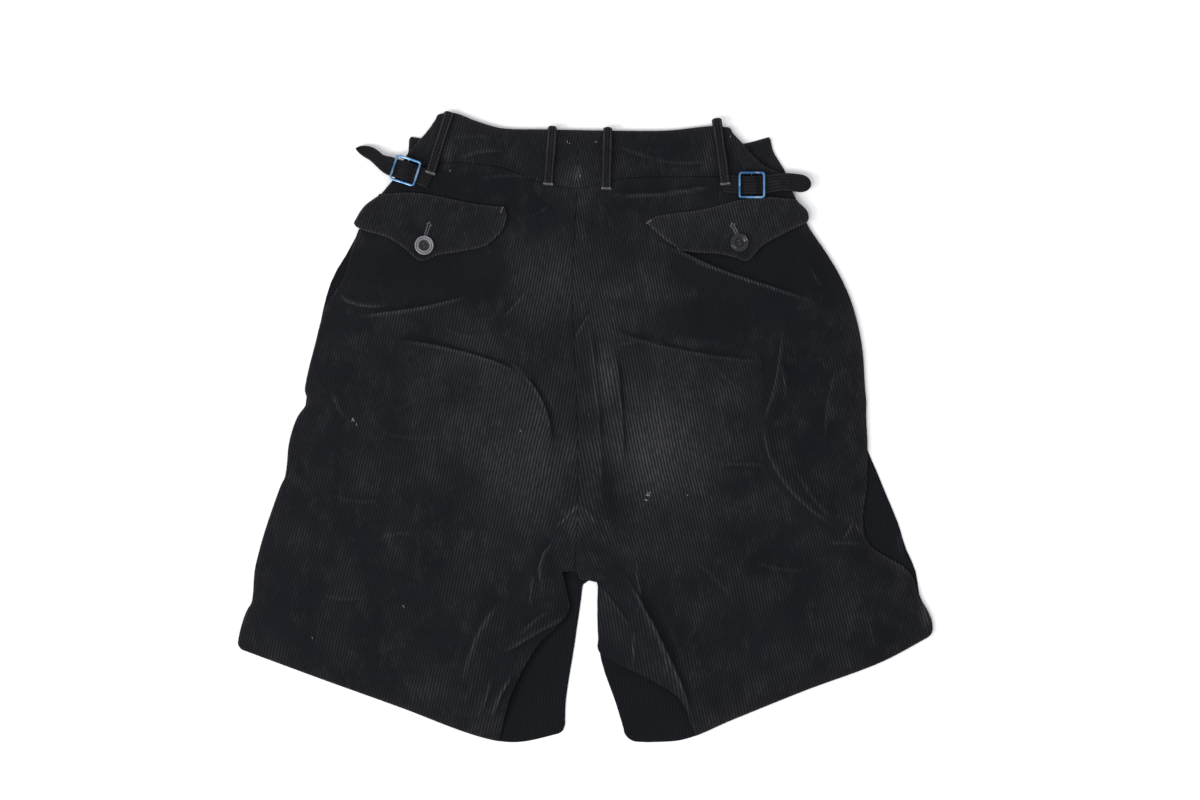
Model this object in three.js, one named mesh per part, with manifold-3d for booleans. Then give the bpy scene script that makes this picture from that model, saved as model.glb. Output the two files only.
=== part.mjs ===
// Corduroy shorts, lying flat with the back up. Millimetres, +Z up, waist towards +Y.
// The origin is on the surface under the middle of the garment.
import * as THREE from 'three';
import { mergeVertices } from 'three/addons/utils/BufferGeometryUtils.js';
import Module from 'manifold-3d';

const wasm = await Module();
wasm.setup();

// Cloth
const CLOTH = 1.6; // one layer of corduroy
const BAND = 2.6; // waistband, two layers and a stiffener
const FLAP = 2.4; // pocket flap, two layers
const STRAP = 2.0; // adjuster strap, folded and pressed
const SEAM = 0.3; // room between pieces that are sewn edge to edge
const LAYER = 0.3; // room between the front and the back of the garment
const LIE = 0.5; // room under what lies on a rounded panel
const BULGE = 2.4; // how far the back lifts off the front away from its edges
const BULGE_REACH = 38; // distance from an edge at which the back is at its full height
const STEP_ROOM = 13; // how far ahead of a step below it the back starts to rise

// Grids
const LEG_ROWS = 10; // from the hem to the crotch
const SEAT_ROWS = 24; // from the crotch to the waistband
const SIDE_COLS = 4; // under the side piece of the waistband
const BACK_COLS = 20; // under the back piece of the waistband
const FRONT_COLS = 9;
const FRONT_LEG_ROWS = 5;
const FRONT_ROWS = 13;
const FRONT_BAND_COLS = 18;
const BAND_ROWS = 4;
const FLAP_ROWS = 5;
const FLAP_COLS = 14;
const FLY_ROWS = 6;
const BUTTON_SIDES = 20;

// Sections of the body, from the hem up: where the back panels fold over at each side, and how far
// the front panels reach
const SECTIONS = [
  { y: -199, backLeft: -313, backRight: 313, frontLeft: -311, frontRight: 311 },
  { y: -183, backLeft: -310, backRight: 313, frontLeft: -309, frontRight: 311 },
  { y: -156, backLeft: -300, backRight: 304, frontLeft: -299, frontRight: 303 },
  { y: -129, backLeft: -297, backRight: 290, frontLeft: -296, frontRight: 297 },
  { y: -108, backLeft: -292, backRight: 258, frontLeft: -291, frontRight: 288 },
  { y: -88, backLeft: -286, backRight: 250, frontLeft: -285, frontRight: 282 },
  { y: -48, backLeft: -271, backRight: 254, frontLeft: -270, frontRight: 265 },
  { y: -14, backLeft: -266, backRight: 254, frontLeft: -265, frontRight: 252 },
  { y: 8, backLeft: -259, backRight: 253, frontLeft: -258, frontRight: 252 },
  { y: 22, backLeft: -250, backRight: 253, frontLeft: -249, frontRight: 251 },
  { y: 34, backLeft: -252, backRight: 252, frontLeft: -251, frontRight: 251 },
  { y: 73, backLeft: -243, backRight: 249, frontLeft: -242, frontRight: 248 },
  { y: 108, backLeft: -233, backRight: 241, frontLeft: -235, frontRight: 240 },
  { y: 134, backLeft: -217, backRight: 230, frontLeft: -227, frontRight: 229 },
  { y: 156, backLeft: -211, backRight: 217, frontLeft: -214, frontRight: 216 },
  { y: 180, backLeft: -202, backRight: 201, frontLeft: -201, frontRight: 200 },
  { y: 204, backLeft: -187, backRight: 190, frontLeft: -185, frontRight: 189 },
  { y: 226, backLeft: -169, backRight: 180, frontLeft: -167, frontRight: 181 },
];

// Hems, from the outer corner to the inner one
const HEM_LEFT = [
  { x: -313, y: -199 }, { x: -240, y: -226 }, { x: -165, y: -253 }, { x: -98, y: -278 },
  { x: -62, y: -284 }, { x: -18, y: -275 },
];
const HEM_RIGHT = [
  { x: 313, y: -187 }, { x: 266, y: -212 }, { x: 199, y: -237 }, { x: 132, y: -264 },
  { x: 91, y: -281 }, { x: 60, y: -284 }, { x: 38, y: -283 },
];

// Inner leg edges of the back panels, from the hem to the foot of the centre back seam
const INSEAM_BACK_LEFT = [
  { x: -77, y: -281 }, { x: -65, y: -238 }, { x: -42, y: -196 }, { x: -26, y: -180 },
  { x: -14, y: -164 }, { x: -16, y: -148 }, { x: -20, y: -130 }, { x: -9, y: -130 },
];
const INSEAM_BACK_RIGHT = [
  { x: 99, y: -278 }, { x: 84, y: -245 }, { x: 60, y: -228 }, { x: 15, y: -205 },
  { x: 12, y: -188 }, { x: 11, y: -160 }, { x: 11, y: -138 }, { x: -9, y: -130 },
];

// Inner leg edges of the front panels, from the hem to the crotch
const INSEAM_FRONT_LEFT = [
  { x: -18, y: -275 }, { x: -17, y: -245 }, { x: -10, y: -200 }, { x: -2, y: -146 }, { x: 4, y: -139 },
];
const INSEAM_FRONT_RIGHT = [
  { x: 38, y: -283 }, { x: 28, y: -250 }, { x: 14, y: -208 }, { x: 11, y: -170 },
  { x: 12, y: -144 }, { x: 4, y: -139 },
];

// Seams down the middle, from the crotch to the waistband
const CENTRE_BACK = [
  { x: -9, y: -130 }, { x: -6, y: -75 }, { x: -6, y: -20 }, { x: -9, y: 60 }, { x: -11, y: 131 },
  { x: -7, y: 214 },
];
const CENTRE_FRONT = [{ x: 4, y: -139 }, { x: 2, y: -40 }, { x: 0, y: 195 }];

// Waistband edges across the garment
const WAIST_TOP = [
  { x: -131, y: 281 }, { x: -118, y: 282 }, { x: -96, y: 274 }, { x: -74, y: 268 }, { x: -33, y: 267 },
  { x: 20, y: 266 }, { x: 74, y: 266 }, { x: 113, y: 270 }, { x: 128, y: 269 },
];
const WAIST_LOW = [
  { x: -169, y: 226 }, { x: -137, y: 236 }, { x: -104, y: 237 }, { x: -71, y: 232 },
  { x: -40, y: 220 }, { x: -7, y: 214 }, { x: 23, y: 221 }, { x: 50, y: 224 }, { x: 124, y: 225 },
  { x: 180, y: 226 },
];
const FRONT_WAIST_TOP = [
  { x: -158, y: 261 }, { x: -80, y: 247 }, { x: 0, y: 243 }, { x: 82, y: 247 }, { x: 162, y: 260 },
];
const FRONT_WAIST_DEPTH = 48;
const FRONT_BAND_ENDS = { lowLeft: -178, lowRight: 187, topLeft: -158, topRight: 162 };

// Seams across the waistband, under the outer belt loops, and the folded ends of its side pieces
const SIDE_SEAM_LEFT = { lowX: -137, topX: -123 };
const SIDE_SEAM_RIGHT = { lowX: 124, topX: 117 };
const BAND_END_LEFT = [{ x: -169, y: 226 }, { x: -160, y: 244 }, { x: -142, y: 265 }, { x: -131, y: 281 }];
const BAND_END_RIGHT = [{ x: 180, y: 226 }, { x: 160, y: 235 }, { x: 143, y: 253 }, { x: 128, y: 269 }];

// Folds of the back: a curve from (x1, y1) by (xm, ym) to (x2, y2), the crest's height, its width, and
// the side on which it runs out softly
const FOLDS = [
  { x1: -222, y1: 119, xm: -205, ym: 106, x2: -178, y2: 109, height: 3.2, width: 8, soft: 1 },
  { x1: -206, y1: 99, xm: -150, ym: 100, x2: -104, y2: 117, height: 3.8, width: 9, soft: -1 },
  { x1: -172, y1: 77, xm: -105, ym: 68, x2: -56, y2: 46, height: 4.4, width: 10, soft: -1 },
  { x1: -62, y1: 50, xm: -34, ym: 28, x2: -30, y2: -20, height: 4.4, width: 10, soft: -1 },
  { x1: -50, y1: 124, xm: -60, ym: 110, x2: -75, y2: 96, height: 1.4, width: 12, soft: 1 },
  { x1: -228, y1: 34, xm: -224, ym: 18, x2: -212, y2: 5, height: 1.6, width: 10, soft: 1 },
  { x1: -26, y1: -103, xm: -44, ym: -118, x2: -38, y2: -144, height: 3.8, width: 9, soft: 1 },
  { x1: -76, y1: -204, xm: -48, ym: -184, x2: -13, y2: -168, height: 5.0, width: 11, soft: 1 },
  { x1: -83, y1: -262, xm: -80, ym: -240, x2: -64, y2: -222, height: 2.6, width: 9, soft: 1 },
  { x1: -74, y1: -155, xm: -102, ym: -186, x2: -110, y2: -232, height: 1.6, width: 15, soft: 1 },
  { x1: 72, y1: 162, xm: 112, ym: 130, x2: 213, y2: 113, height: 4.4, width: 11, soft: -1 },
  { x1: 18, y1: 88, xm: 78, ym: 60, x2: 170, y2: 58, height: 2.2, width: 10, soft: -1 },
  { x1: 178, y1: 90, xm: 176, ym: 34, x2: 160, y2: 4, height: 4.2, width: 10, soft: 1 },
  { x1: 160, y1: 8, xm: 160, ym: -50, x2: 230, y2: -93, height: 4.2, width: 10, soft: 1 },
  { x1: 244, y1: -72, xm: 238, ym: -92, x2: 226, y2: -104, height: 3.6, width: 9, soft: 1 },
  { x1: 30, y1: 64, xm: 34, ym: 20, x2: 33, y2: -22, height: 3.6, width: 8, soft: 1 },
  { x1: 15, y1: 6, xm: 14, ym: -28, x2: 11, y2: -62, height: 2.8, width: 8, soft: 1 },
  { x1: 34, y1: -132, xm: 70, ym: -192, x2: 97, y2: -264, height: 5.0, width: 10, soft: -1 },
  { x1: 120, y1: -34, xm: 142, ym: -33, x2: 164, y2: -35, height: 1.4, width: 8, soft: 1 },
  { x1: 20, y1: 208, xm: 66, ym: 204, x2: 120, y2: 217, height: 2.0, width: 8, soft: -1 },
  { x1: -112, y1: 240, xm: -96, ym: 250, x2: -72, y2: 247, height: 1.2, width: 9, soft: 1 },
  { x1: -51, y1: 10, xm: -56, ym: -30, x2: -60, y2: -80, height: 1.6, width: 34, soft: 1 },
  { x1: 67, y1: 30, xm: 70, ym: -10, x2: 74, y2: -60, height: 1.6, width: 34, soft: 1 },
];
const CREST_STEEP = 0.8; // share of the width on the steep side
const CREST_SOFT = 1.7; // share of the width on the soft side

// Pocket flaps, each edge from left to right or from below up
const FLAP_LEFT = {
  low: [
    { x: -209, y: 181 }, { x: -198, y: 176 }, { x: -178, y: 170 }, { x: -163, y: 161 },
    { x: -148, y: 149 }, { x: -131, y: 154 }, { x: -112, y: 157 }, { x: -88, y: 163 }, { x: -75, y: 174 },
  ],
  top: [
    { x: -183, y: 209 }, { x: -160, y: 210 }, { x: -138, y: 208 }, { x: -100, y: 200 }, { x: -72, y: 197 },
  ],
  left: [{ x: -209, y: 181 }, { x: -198, y: 198 }, { x: -183, y: 209 }],
  right: [{ x: -75, y: 174 }, { x: -70, y: 188 }, { x: -72, y: 197 }],
};
const FLAP_RIGHT = {
  low: [
    { x: 86, y: 157 }, { x: 100, y: 156 }, { x: 120, y: 155 }, { x: 134, y: 152 }, { x: 146, y: 149 },
    { x: 159, y: 162 }, { x: 178, y: 173 }, { x: 201, y: 184 },
  ],
  top: [
    { x: 54, y: 184 }, { x: 66, y: 189 }, { x: 107, y: 195 }, { x: 138, y: 203 }, { x: 164, y: 206 },
    { x: 189, y: 204 },
  ],
  left: [{ x: 86, y: 157 }, { x: 70, y: 169 }, { x: 54, y: 184 }],
  right: [{ x: 201, y: 184 }, { x: 200, y: 193 }, { x: 189, y: 204 }],
};
const FLAP_LIFT = 1.2; // how far a flap's free edge stands off the panel

// Belt loops across the back, each from above the waistband to its foot, and the strap under its foot
const LOOPS = [
  { name: 'belt_loop_left_side', topX: -121.5, topY: 282.7, footX: -139, footY: 226, strap: 'left' },
  { name: 'belt_loop_left_back', topX: -29, topY: 270, footX: -33, footY: 216, strap: null },
  { name: 'belt_loop_right_back', topX: 20.5, topY: 269, footX: 19, footY: 212, strap: null },
  { name: 'belt_loop_right_side', topX: 118, topY: 277, footX: 126, footY: 216, strap: 'right' },
];
const LOOP_WIDTH = 8.6;
const LOOP_THICK = 1.8;
const LOOP_ARCH = 1.4;
const LOOP_STEPS = 10;

// Adjuster straps: the middle line of each from its seam to its tip, and where its buckle sits
const STRAP_WIDTH = 16.6;
const STRAP_STEPS = 30;
const STRAP_TIP = 8; // length of the rounded end
const STRAP_LEFT = {
  route: [
    { x: -138, y: 221 }, { x: -149, y: 225.5 }, { x: -161, y: 229.5 }, { x: -173, y: 233 },
    { x: -183, y: 238 }, { x: -191, y: 244.5 }, { x: -199, y: 248 }, { x: -206, y: 250 },
  ],
  buckle: { x: -161, y: 229.5, turn: -18 },
  freeWidth: 11.5,
  droop: 4.5,
};
const STRAP_RIGHT = {
  route: [
    { x: 124.5, y: 218 }, { x: 137, y: 217 }, { x: 149.5, y: 216.5 }, { x: 162, y: 217.5 },
    { x: 180, y: 219.5 }, { x: 203, y: 217 },
  ],
  buckle: { x: 149.5, y: 216.5, turn: 0 },
  freeWidth: 16,
  droop: 2.5,
};
const STRAP_FREE = 14; // from the buckle's middle to where the strap is free
const STRAPS = { left: STRAP_LEFT, right: STRAP_RIGHT };

// Slide buckle: a square frame with a middle bar that the strap runs over
const BUCKLE_SIDE = 24;
const BUCKLE_BAR = 2.4;
const BUCKLE_THICK = 2.0;
const BUCKLE_CORNER = 2.2;
const BUCKLE_MIDDLE = 2.0;
const BUCKLE_MIDDLE_DROP = 1.4;
const STRAP_HUMP = STRAP + SEAM + BUCKLE_THICK - BUCKLE_MIDDLE_DROP + SEAM;
const HUMP_FLAT = 1.6;
const HUMP_FOOT = 8.6;

// Buttons on the flaps and at the waist
const BUTTON_THICK = 2.8;
const BUTTON_HOLE = 1.1;
const BUTTON_HOLE_RING = 2.1;
const BUTTON_LEFT = { x: -144, y: 162.5, radius: 8.6 };
const BUTTON_RIGHT = { x: 138.5, y: 165, radius: 8.4 };
const WAIST_BUTTON = { x: 8, y: 219, radius: 8.4 };
const WAIST_BUTTON_RISE = 3.2; // how far the front band stands up over its button
const WAIST_BUTTON_FLAT = 11; // radius of the raised place
const WAIST_BUTTON_DOME = 30; // radius at which the band is flat again
const FRONT_CLOSURE_X = 20; // end of the front band that laps over the centre

// Fly: a strip behind the centre front seam
const FLY_WIDTH = 38;
const FLY_LOW = 40;
const FLY_TOP = 193;

const CORDUROY = { color: 0x26272b, roughness: 0.95, metalness: 0 };
const STEEL = { color: 0x8f98a6, roughness: 0.3, metalness: 1 };
const PALE_BUTTON = { color: 0xc9c4c8, roughness: 0.35, metalness: 0 };
const DARK_BUTTON = { color: 0x33343a, roughness: 0.3, metalness: 0 };

const clamp = (value, low, high) => Math.min(high, Math.max(low, value));
const smooth = (t) => { const c = clamp(t, 0, 1); return c * c * (3 - 2 * c); };
const mix = (a, b, t) => a + (b - a) * t;

// A table's column as a smooth function of another column, rising with its rows
function columnCurve(rows, along, across) {
  const slope = (i) => {
    const before = rows[Math.max(i - 1, 0)];
    const after = rows[Math.min(i + 1, rows.length - 1)];
    return (after[across] - before[across]) / (after[along] - before[along]);
  };
  return (value) => {
    const at = clamp(value, rows[0][along], rows[rows.length - 1][along]);
    let i = 0;
    while (i < rows.length - 2 && at > rows[i + 1][along]) i += 1;
    const span = rows[i + 1][along] - rows[i][along];
    const t = (at - rows[i][along]) / span;
    const h = t * t * (3 - 2 * t);
    const ends = mix(rows[i][across], rows[i + 1][across], h);
    const bend = span * t * (1 - t) * ((1 - t) * slope(i) - t * slope(i + 1));
    return ends + bend;
  };
}

// An edge through a table's points, for a share t of its length
function edge(points) {
  const curve = new THREE.CatmullRomCurve3(points.map((p) => new THREE.Vector3(p.x, p.y, 0)), false, 'centripetal');
  return (t) => {
    const p = curve.getPointAt(clamp(t, 0, 1));
    return { x: p.x, y: p.y };
  };
}

const backLeftEdge = columnCurve(SECTIONS, 'y', 'backLeft');
const backRightEdge = columnCurve(SECTIONS, 'y', 'backRight');
const frontLeftEdge = columnCurve(SECTIONS, 'y', 'frontLeft');
const frontRightEdge = columnCurve(SECTIONS, 'y', 'frontRight');
const waistTop = columnCurve(WAIST_TOP, 'x', 'y');
const waistLow = columnCurve(WAIST_LOW, 'x', 'y');
const frontWaistTop = columnCurve(FRONT_WAIST_TOP, 'x', 'y');
const hemLeftHeight = columnCurve(HEM_LEFT, 'x', 'y');
const hemRightHeight = columnCurve([...HEM_RIGHT].reverse(), 'x', 'y');
const inseamLeft = columnCurve(INSEAM_FRONT_LEFT, 'y', 'x');
const inseamRight = columnCurve(INSEAM_FRONT_RIGHT, 'y', 'x');
const crotchY = INSEAM_FRONT_LEFT[INSEAM_FRONT_LEFT.length - 1].y;

// Rise over the waist button, which lies under the front band
function buttonRise(x, y, wider) {
  const away = Math.hypot(x - WAIST_BUTTON.x, y - WAIST_BUTTON.y) - wider;
  return WAIST_BUTTON_RISE * smooth((WAIST_BUTTON_DOME - away) / (WAIST_BUTTON_DOME - WAIST_BUTTON_FLAT));
}

// Underside of the front of the garment, on the surface but over its button
const frontHeight = (x, y) => buttonRise(x, y, 0);

const frontWaistLow = (x) => frontWaistTop(x) - FRONT_WAIST_DEPTH;

// Thickness of the front under the back, stepping up to its waistband a little early
const frontThickness = (x, y) => mix(CLOTH, BAND, smooth((y - frontWaistLow(x) + 2 * STEP_ROOM) / STEP_ROOM));

// Height of one fold over a point: a crest that dies away at both ends
const FOLD_SAMPLES = 14;
const foldCurves = FOLDS.map((fold) => {
  const points = [];
  for (let i = 0; i <= FOLD_SAMPLES; i += 1) {
    const t = i / FOLD_SAMPLES;
    const a = (1 - t) * (1 - t);
    const b = 2 * t * (1 - t);
    const c = t * t;
    points.push({ x: a * fold.x1 + b * fold.xm + c * fold.x2, y: a * fold.y1 + b * fold.ym + c * fold.y2 });
  }
  return { ...fold, points };
});

function foldHeight(fold, x, y) {
  let best = { gap: Infinity, t: 0, side: 1 };
  for (let i = 0; i < FOLD_SAMPLES; i += 1) {
    const p = fold.points[i];
    const q = fold.points[i + 1];
    const dx = q.x - p.x;
    const dy = q.y - p.y;
    const t = clamp(((x - p.x) * dx + (y - p.y) * dy) / (dx * dx + dy * dy), 0, 1);
    const ox = x - p.x - t * dx;
    const oy = y - p.y - t * dy;
    const gap = Math.hypot(ox, oy);
    if (gap < best.gap) best = { gap, t: (i + t) / FOLD_SAMPLES, side: Math.sign(dx * oy - dy * ox) || 1 };
  }
  const width = fold.width * (best.side === fold.soft ? CREST_SOFT : CREST_STEEP);
  const ends = smooth(4 * best.t) * smooth(4 * (1 - best.t));
  return fold.height * (0.15 + 0.85 * ends) * Math.exp(-((best.gap / width) ** 2));
}

// Underside of the back of the garment over a point
function backHeight(x, y) {
  let inside = Math.min(x - backLeftEdge(y), backRightEdge(y) - x, waistTop(x) - y);
  inside = Math.min(inside, y - (x < 0 ? hemLeftHeight(x) : hemRightHeight(x)));
  if (y < crotchY) inside = Math.min(inside, x < 4 ? inseamLeft(y) - x : x - inseamRight(y));
  const off = Math.max(BULGE * smooth(inside / BULGE_REACH), buttonRise(x, y, STEP_ROOM));
  let height = frontThickness(x, y) + LAYER + off;
  for (const fold of foldCurves) height += foldHeight(fold, x, y) * smooth((inside + 4) / 16);
  return height;
}

const bandTop = (x, y) => backHeight(x, y) + BAND;
const panelTop = (x, y) => backHeight(x, y) + CLOTH;

// The top of whichever piece of the back lies under a point
const backTop = (x, y) => (y > waistLow(x) - 3 ? bandTop(x, y) : panelTop(x, y));

// A wall over a grid of points: rows of { x, y }, a height for its underside and its thickness
function wall(name, rows, under, thick, look) {
  const height = rows.length;
  const width = rows[0].length;
  const position = [];
  for (const layer of [0, 1]) {
    for (const [i, row] of rows.entries()) {
      for (const [j, p] of row.entries()) position.push(p.x, p.y, under(p.x, p.y, i, j) + layer * thick);
    }
  }
  const low = (i, j) => i * width + j;
  const top = (i, j) => height * width + i * width + j;
  const index = [];
  const quad = (a, b, c, d) => index.push(a, b, c, a, c, d);
  for (let i = 0; i < height - 1; i += 1) {
    for (let j = 0; j < width - 1; j += 1) {
      quad(top(i, j), top(i, j + 1), top(i + 1, j + 1), top(i + 1, j));
      quad(low(i, j), low(i + 1, j), low(i + 1, j + 1), low(i, j + 1));
    }
    quad(low(i, 0), top(i, 0), top(i + 1, 0), low(i + 1, 0));
    quad(low(i + 1, width - 1), top(i + 1, width - 1), top(i, width - 1), low(i, width - 1));
  }
  for (let j = 0; j < width - 1; j += 1) {
    quad(low(0, j + 1), top(0, j + 1), top(0, j), low(0, j));
    quad(low(height - 1, j), top(height - 1, j), top(height - 1, j + 1), low(height - 1, j + 1));
  }
  const geometry = new THREE.BufferGeometry();
  geometry.setAttribute('position', new THREE.Float32BufferAttribute(position, 3));
  geometry.setIndex(index);
  geometry.computeVertexNormals();
  return mesh(name, geometry, look);
}

function mesh(name, geometry, look) {
  const made = new THREE.Mesh(geometry, new THREE.MeshStandardMaterial(look));
  made.name = name;
  return made;
}

// The grid between four edges, each a function of a share from 0 to 1
function grid(rows, cols, { low, top, left, right }) {
  const corner = { ll: low(0), lr: low(1), tl: top(0), tr: top(1) };
  const made = [];
  for (let i = 0; i <= rows; i += 1) {
    const v = i / rows;
    const row = [];
    for (let j = 0; j <= cols; j += 1) {
      const u = j / cols;
      const [a, b, c, d] = [low(u), top(u), left(v), right(v)];
      const at = (k) => mix(a[k], b[k], v) + mix(c[k], d[k], u)
        - mix(mix(corner.ll[k], corner.lr[k], u), mix(corner.tl[k], corner.tr[k], u), v);
      row.push({ x: at('x'), y: at('y') });
    }
    made.push(row);
  }
  return made;
}

// The inner edge of a back panel: the inseam up to the crotch, then the centre back seam, with the same
// rows on both panels
function innerEdge(inseam, middle, share) {
  const leg = edge(inseam);
  const seat = edge(middle);
  return (v) => (v < share ? leg(v / share) : seat((v - share) / (1 - share)));
}

// Shares of a panel's upper edge that lie under the side piece and the back piece of the waistband
function upperEdge(outerX, seamX, middleX, line, drop) {
  const share = SIDE_COLS / (SIDE_COLS + BACK_COLS);
  return (u) => {
    const x = u < share ? mix(outerX, seamX, u / share) : mix(seamX, middleX, (u - share) / (1 - share));
    return { x, y: line(x) - drop };
  };
}

function backPanel(name, side) {
  const left = side < 0;
  const sideEdge = left ? backLeftEdge : backRightEdge;
  const hem = edge(left ? HEM_LEFT : HEM_RIGHT);
  const inseam = left ? INSEAM_BACK_LEFT : INSEAM_BACK_RIGHT;
  const hemRows = left ? HEM_LEFT : HEM_RIGHT;
  const hemHeight = left ? hemLeftHeight : hemRightHeight;
  const outer = hemRows[0];
  const waistEnd = left ? WAIST_LOW[0] : WAIST_LOW[WAIST_LOW.length - 1];
  const seam = left ? SIDE_SEAM_LEFT : SIDE_SEAM_RIGHT;
  const inner = innerEdge(inseam, CENTRE_BACK, LEG_ROWS / (LEG_ROWS + SEAT_ROWS));
  const hemEnd = inseam[0];
  const parts = {
    low: (u) => {
      const x = mix(outer.x, hemEnd.x, u);
      return { x, y: u === 1 ? hemEnd.y : hemHeight(x) };
    },
    top: upperEdge(waistEnd.x, seam.lowX, CENTRE_BACK[CENTRE_BACK.length - 1].x + side * SEAM / 2, waistLow, 2 * SEAM),
    left: (v) => {
      const y = mix(outer.y, waistEnd.y - 2 * SEAM, v);
      return { x: v === 0 ? outer.x : v === 1 ? waistEnd.x : sideEdge(y), y };
    },
    right: (v) => {
      const p = inner(v);
      const x = p.x + side * SEAM / 2;
      if (v === 0) return p;
      return { x, y: v === 1 ? waistLow(x) - 2 * SEAM : p.y };
    },
  };
  const rows = grid(LEG_ROWS + SEAT_ROWS, SIDE_COLS + BACK_COLS, parts);
  return wall(name, left ? rows : rows.map((row) => [...row].reverse()), backHeight, CLOTH, CORDUROY);
}

// A panel of the front, on the surface, up to its waistband
function frontPanel(name, side) {
  const left = side < 0;
  const sideEdge = left ? frontLeftEdge : frontRightEdge;
  const hemHeight = left ? hemLeftHeight : hemRightHeight;
  const inseam = left ? INSEAM_FRONT_LEFT : INSEAM_FRONT_RIGHT;
  const outerX = left ? SECTIONS[0].frontLeft : SECTIONS[0].frontRight;
  const outer = { x: outerX, y: hemHeight(outerX) };
  const topX = left ? FRONT_BAND_ENDS.lowLeft : FRONT_BAND_ENDS.lowRight;
  const topY = frontWaistLow(topX) - 2 * SEAM;
  const middleX = CENTRE_FRONT[CENTRE_FRONT.length - 1].x + side * SEAM / 2;
  const middleY = frontWaistLow(middleX) - 2 * SEAM;
  const inner = innerEdge(inseam, CENTRE_FRONT, FRONT_LEG_ROWS / FRONT_ROWS);
  const parts = {
    low: (u) => {
      const x = mix(outer.x, inseam[0].x, u);
      return { x, y: u === 1 ? inseam[0].y : hemHeight(x) };
    },
    top: (u) => {
      const x = mix(topX, middleX, u);
      return { x, y: frontWaistLow(x) - 2 * SEAM };
    },
    left: (v) => {
      const y = mix(outer.y, topY, v);
      if (v === 0) return outer;
      return { x: v === 1 ? topX : sideEdge(y), y };
    },
    right: (v) => {
      const p = inner(v);
      if (v === 0) return p;
      return v === 1 ? { x: middleX, y: middleY } : { x: p.x + side * SEAM / 2, y: p.y };
    },
  };
  const rows = grid(FRONT_ROWS, FRONT_COLS, parts);
  return wall(name, left ? rows : rows.map((row) => [...row].reverse()), frontHeight, CLOTH, CORDUROY);
}

// A straight edge between two points
const line = (from, to) => (t) => ({ x: mix(from.x, to.x, t), y: mix(from.y, to.y, t) });

// A length of waistband between two ends, along its lower and upper lines
function band(name, { lowFrom, lowTo, topFrom, topTo, lowLine, topLine, left, right, cols, under }) {
  const low = (u) => {
    const x = mix(lowFrom, lowTo, u);
    return { x, y: lowLine(x) };
  };
  const top = (u) => {
    const x = mix(topFrom, topTo, u);
    return { x, y: topLine(x) };
  };
  const ends = { left: left ?? line(low(0), top(0)), right: right ?? line(low(1), top(1)) };
  return wall(name, grid(BAND_ROWS, cols, { low, top, ...ends }), under, BAND, CORDUROY);
}

// A pocket flap on its panel, its free edge a little off it
function flap(name, edges) {
  const [low, top, left, right] = [edges.low, edges.top, edges.left, edges.right].map(edge);
  const rows = grid(FLAP_ROWS, FLAP_COLS, { low, top, left, right });
  const lift = (i) => FLAP_LIFT * (1 - i / FLAP_ROWS);
  return wall(name, rows, (x, y, i) => panelTop(x, y) + LIE + lift(i), FLAP, CORDUROY);
}

// Points across a ribbon along a route: a row for each step, from its left edge to its right
function ribbon(route, steps, halfWidth) {
  const made = [];
  for (let i = 0; i <= steps; i += 1) {
    const t = i / steps;
    const p = route(t);
    const a = route(Math.max(t - 0.01, 0));
    const b = route(Math.min(t + 0.01, 1));
    const length = Math.hypot(b.x - a.x, b.y - a.y);
    const across = { x: (b.y - a.y) / length, y: -(b.x - a.x) / length };
    const half = halfWidth(t);
    made.push([-1, 0, 1].map((k) => ({ x: p.x + k * half * across.x, y: p.y + k * half * across.y })));
  }
  return made;
}

// A belt loop: flat ends, and a low arch between them that a belt runs under
function beltLoop({ name, topX, topY, footX, footY, strap }) {
  const rows = ribbon(line({ x: footX, y: footY }, { x: topX, y: topY }), LOOP_STEPS, () => LOOP_WIDTH / 2);
  const overStrap = strap ? strapHeight(STRAPS[strap]) + STRAP + SEAM : 0;
  const under = (x, y, i) => {
    const t = i / LOOP_STEPS;
    const lying = backTop(x, y) + LIE + LOOP_ARCH * Math.sin(Math.PI * t);
    return strap ? mix(lying, Math.max(lying, overStrap), smooth((0.55 - t) / 0.2)) : lying;
  };
  return wall(name, rows, under, LOOP_THICK, CORDUROY);
}

// A strap from its seam to its rounded tip, under the side bars of its buckle and over the middle bar
function strapHeight(strap) {
  let highest = 0;
  const route = edge(strap.route);
  for (let i = 0; i <= STRAP_STEPS; i += 1) {
    const p = route(i / STRAP_STEPS);
    for (const off of [-STRAP_WIDTH / 2, 0, STRAP_WIDTH / 2]) highest = Math.max(highest, backTop(p.x, p.y + off));
  }
  return highest + LIE;
}

function strapLength(strap) {
  const route = edge(strap.route);
  let length = 0;
  for (let i = 0; i < STRAP_STEPS; i += 1) {
    const p = route(i / STRAP_STEPS);
    const q = route((i + 1) / STRAP_STEPS);
    length += Math.hypot(q.x - p.x, q.y - p.y);
  }
  return length;
}

function adjusterStrap(name, strap) {
  const route = edge(strap.route);
  const length = strapLength(strap);
  const seat = strapHeight(strap);
  const buckleAt = Math.hypot(strap.buckle.x - strap.route[0].x, strap.buckle.y - strap.route[0].y);
  const halfWidth = (t) => {
    const left = (1 - t) * length;
    const round = Math.sqrt(clamp(1 - (1 - left / STRAP_TIP) ** 2, 0.04, 1));
    const free = smooth((t * length - buckleAt - STRAP_FREE) / STRAP_FREE);
    return mix(STRAP_WIDTH, strap.freeWidth, free) / 2 * (left < STRAP_TIP ? round : 1);
  };
  const under = (x, y, i) => {
    const along = (i / STRAP_STEPS) * length - buckleAt;
    const hump = smooth((HUMP_FOOT - Math.abs(along)) / (HUMP_FOOT - HUMP_FLAT));
    const droop = smooth((along - STRAP_FREE) / (length - buckleAt - STRAP_FREE));
    return seat + STRAP_HUMP * hump - strap.droop * droop;
  };
  const rows = ribbon(route, STRAP_STEPS, halfWidth);
  return wall(name, rows, under, STRAP, CORDUROY);
}

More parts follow.
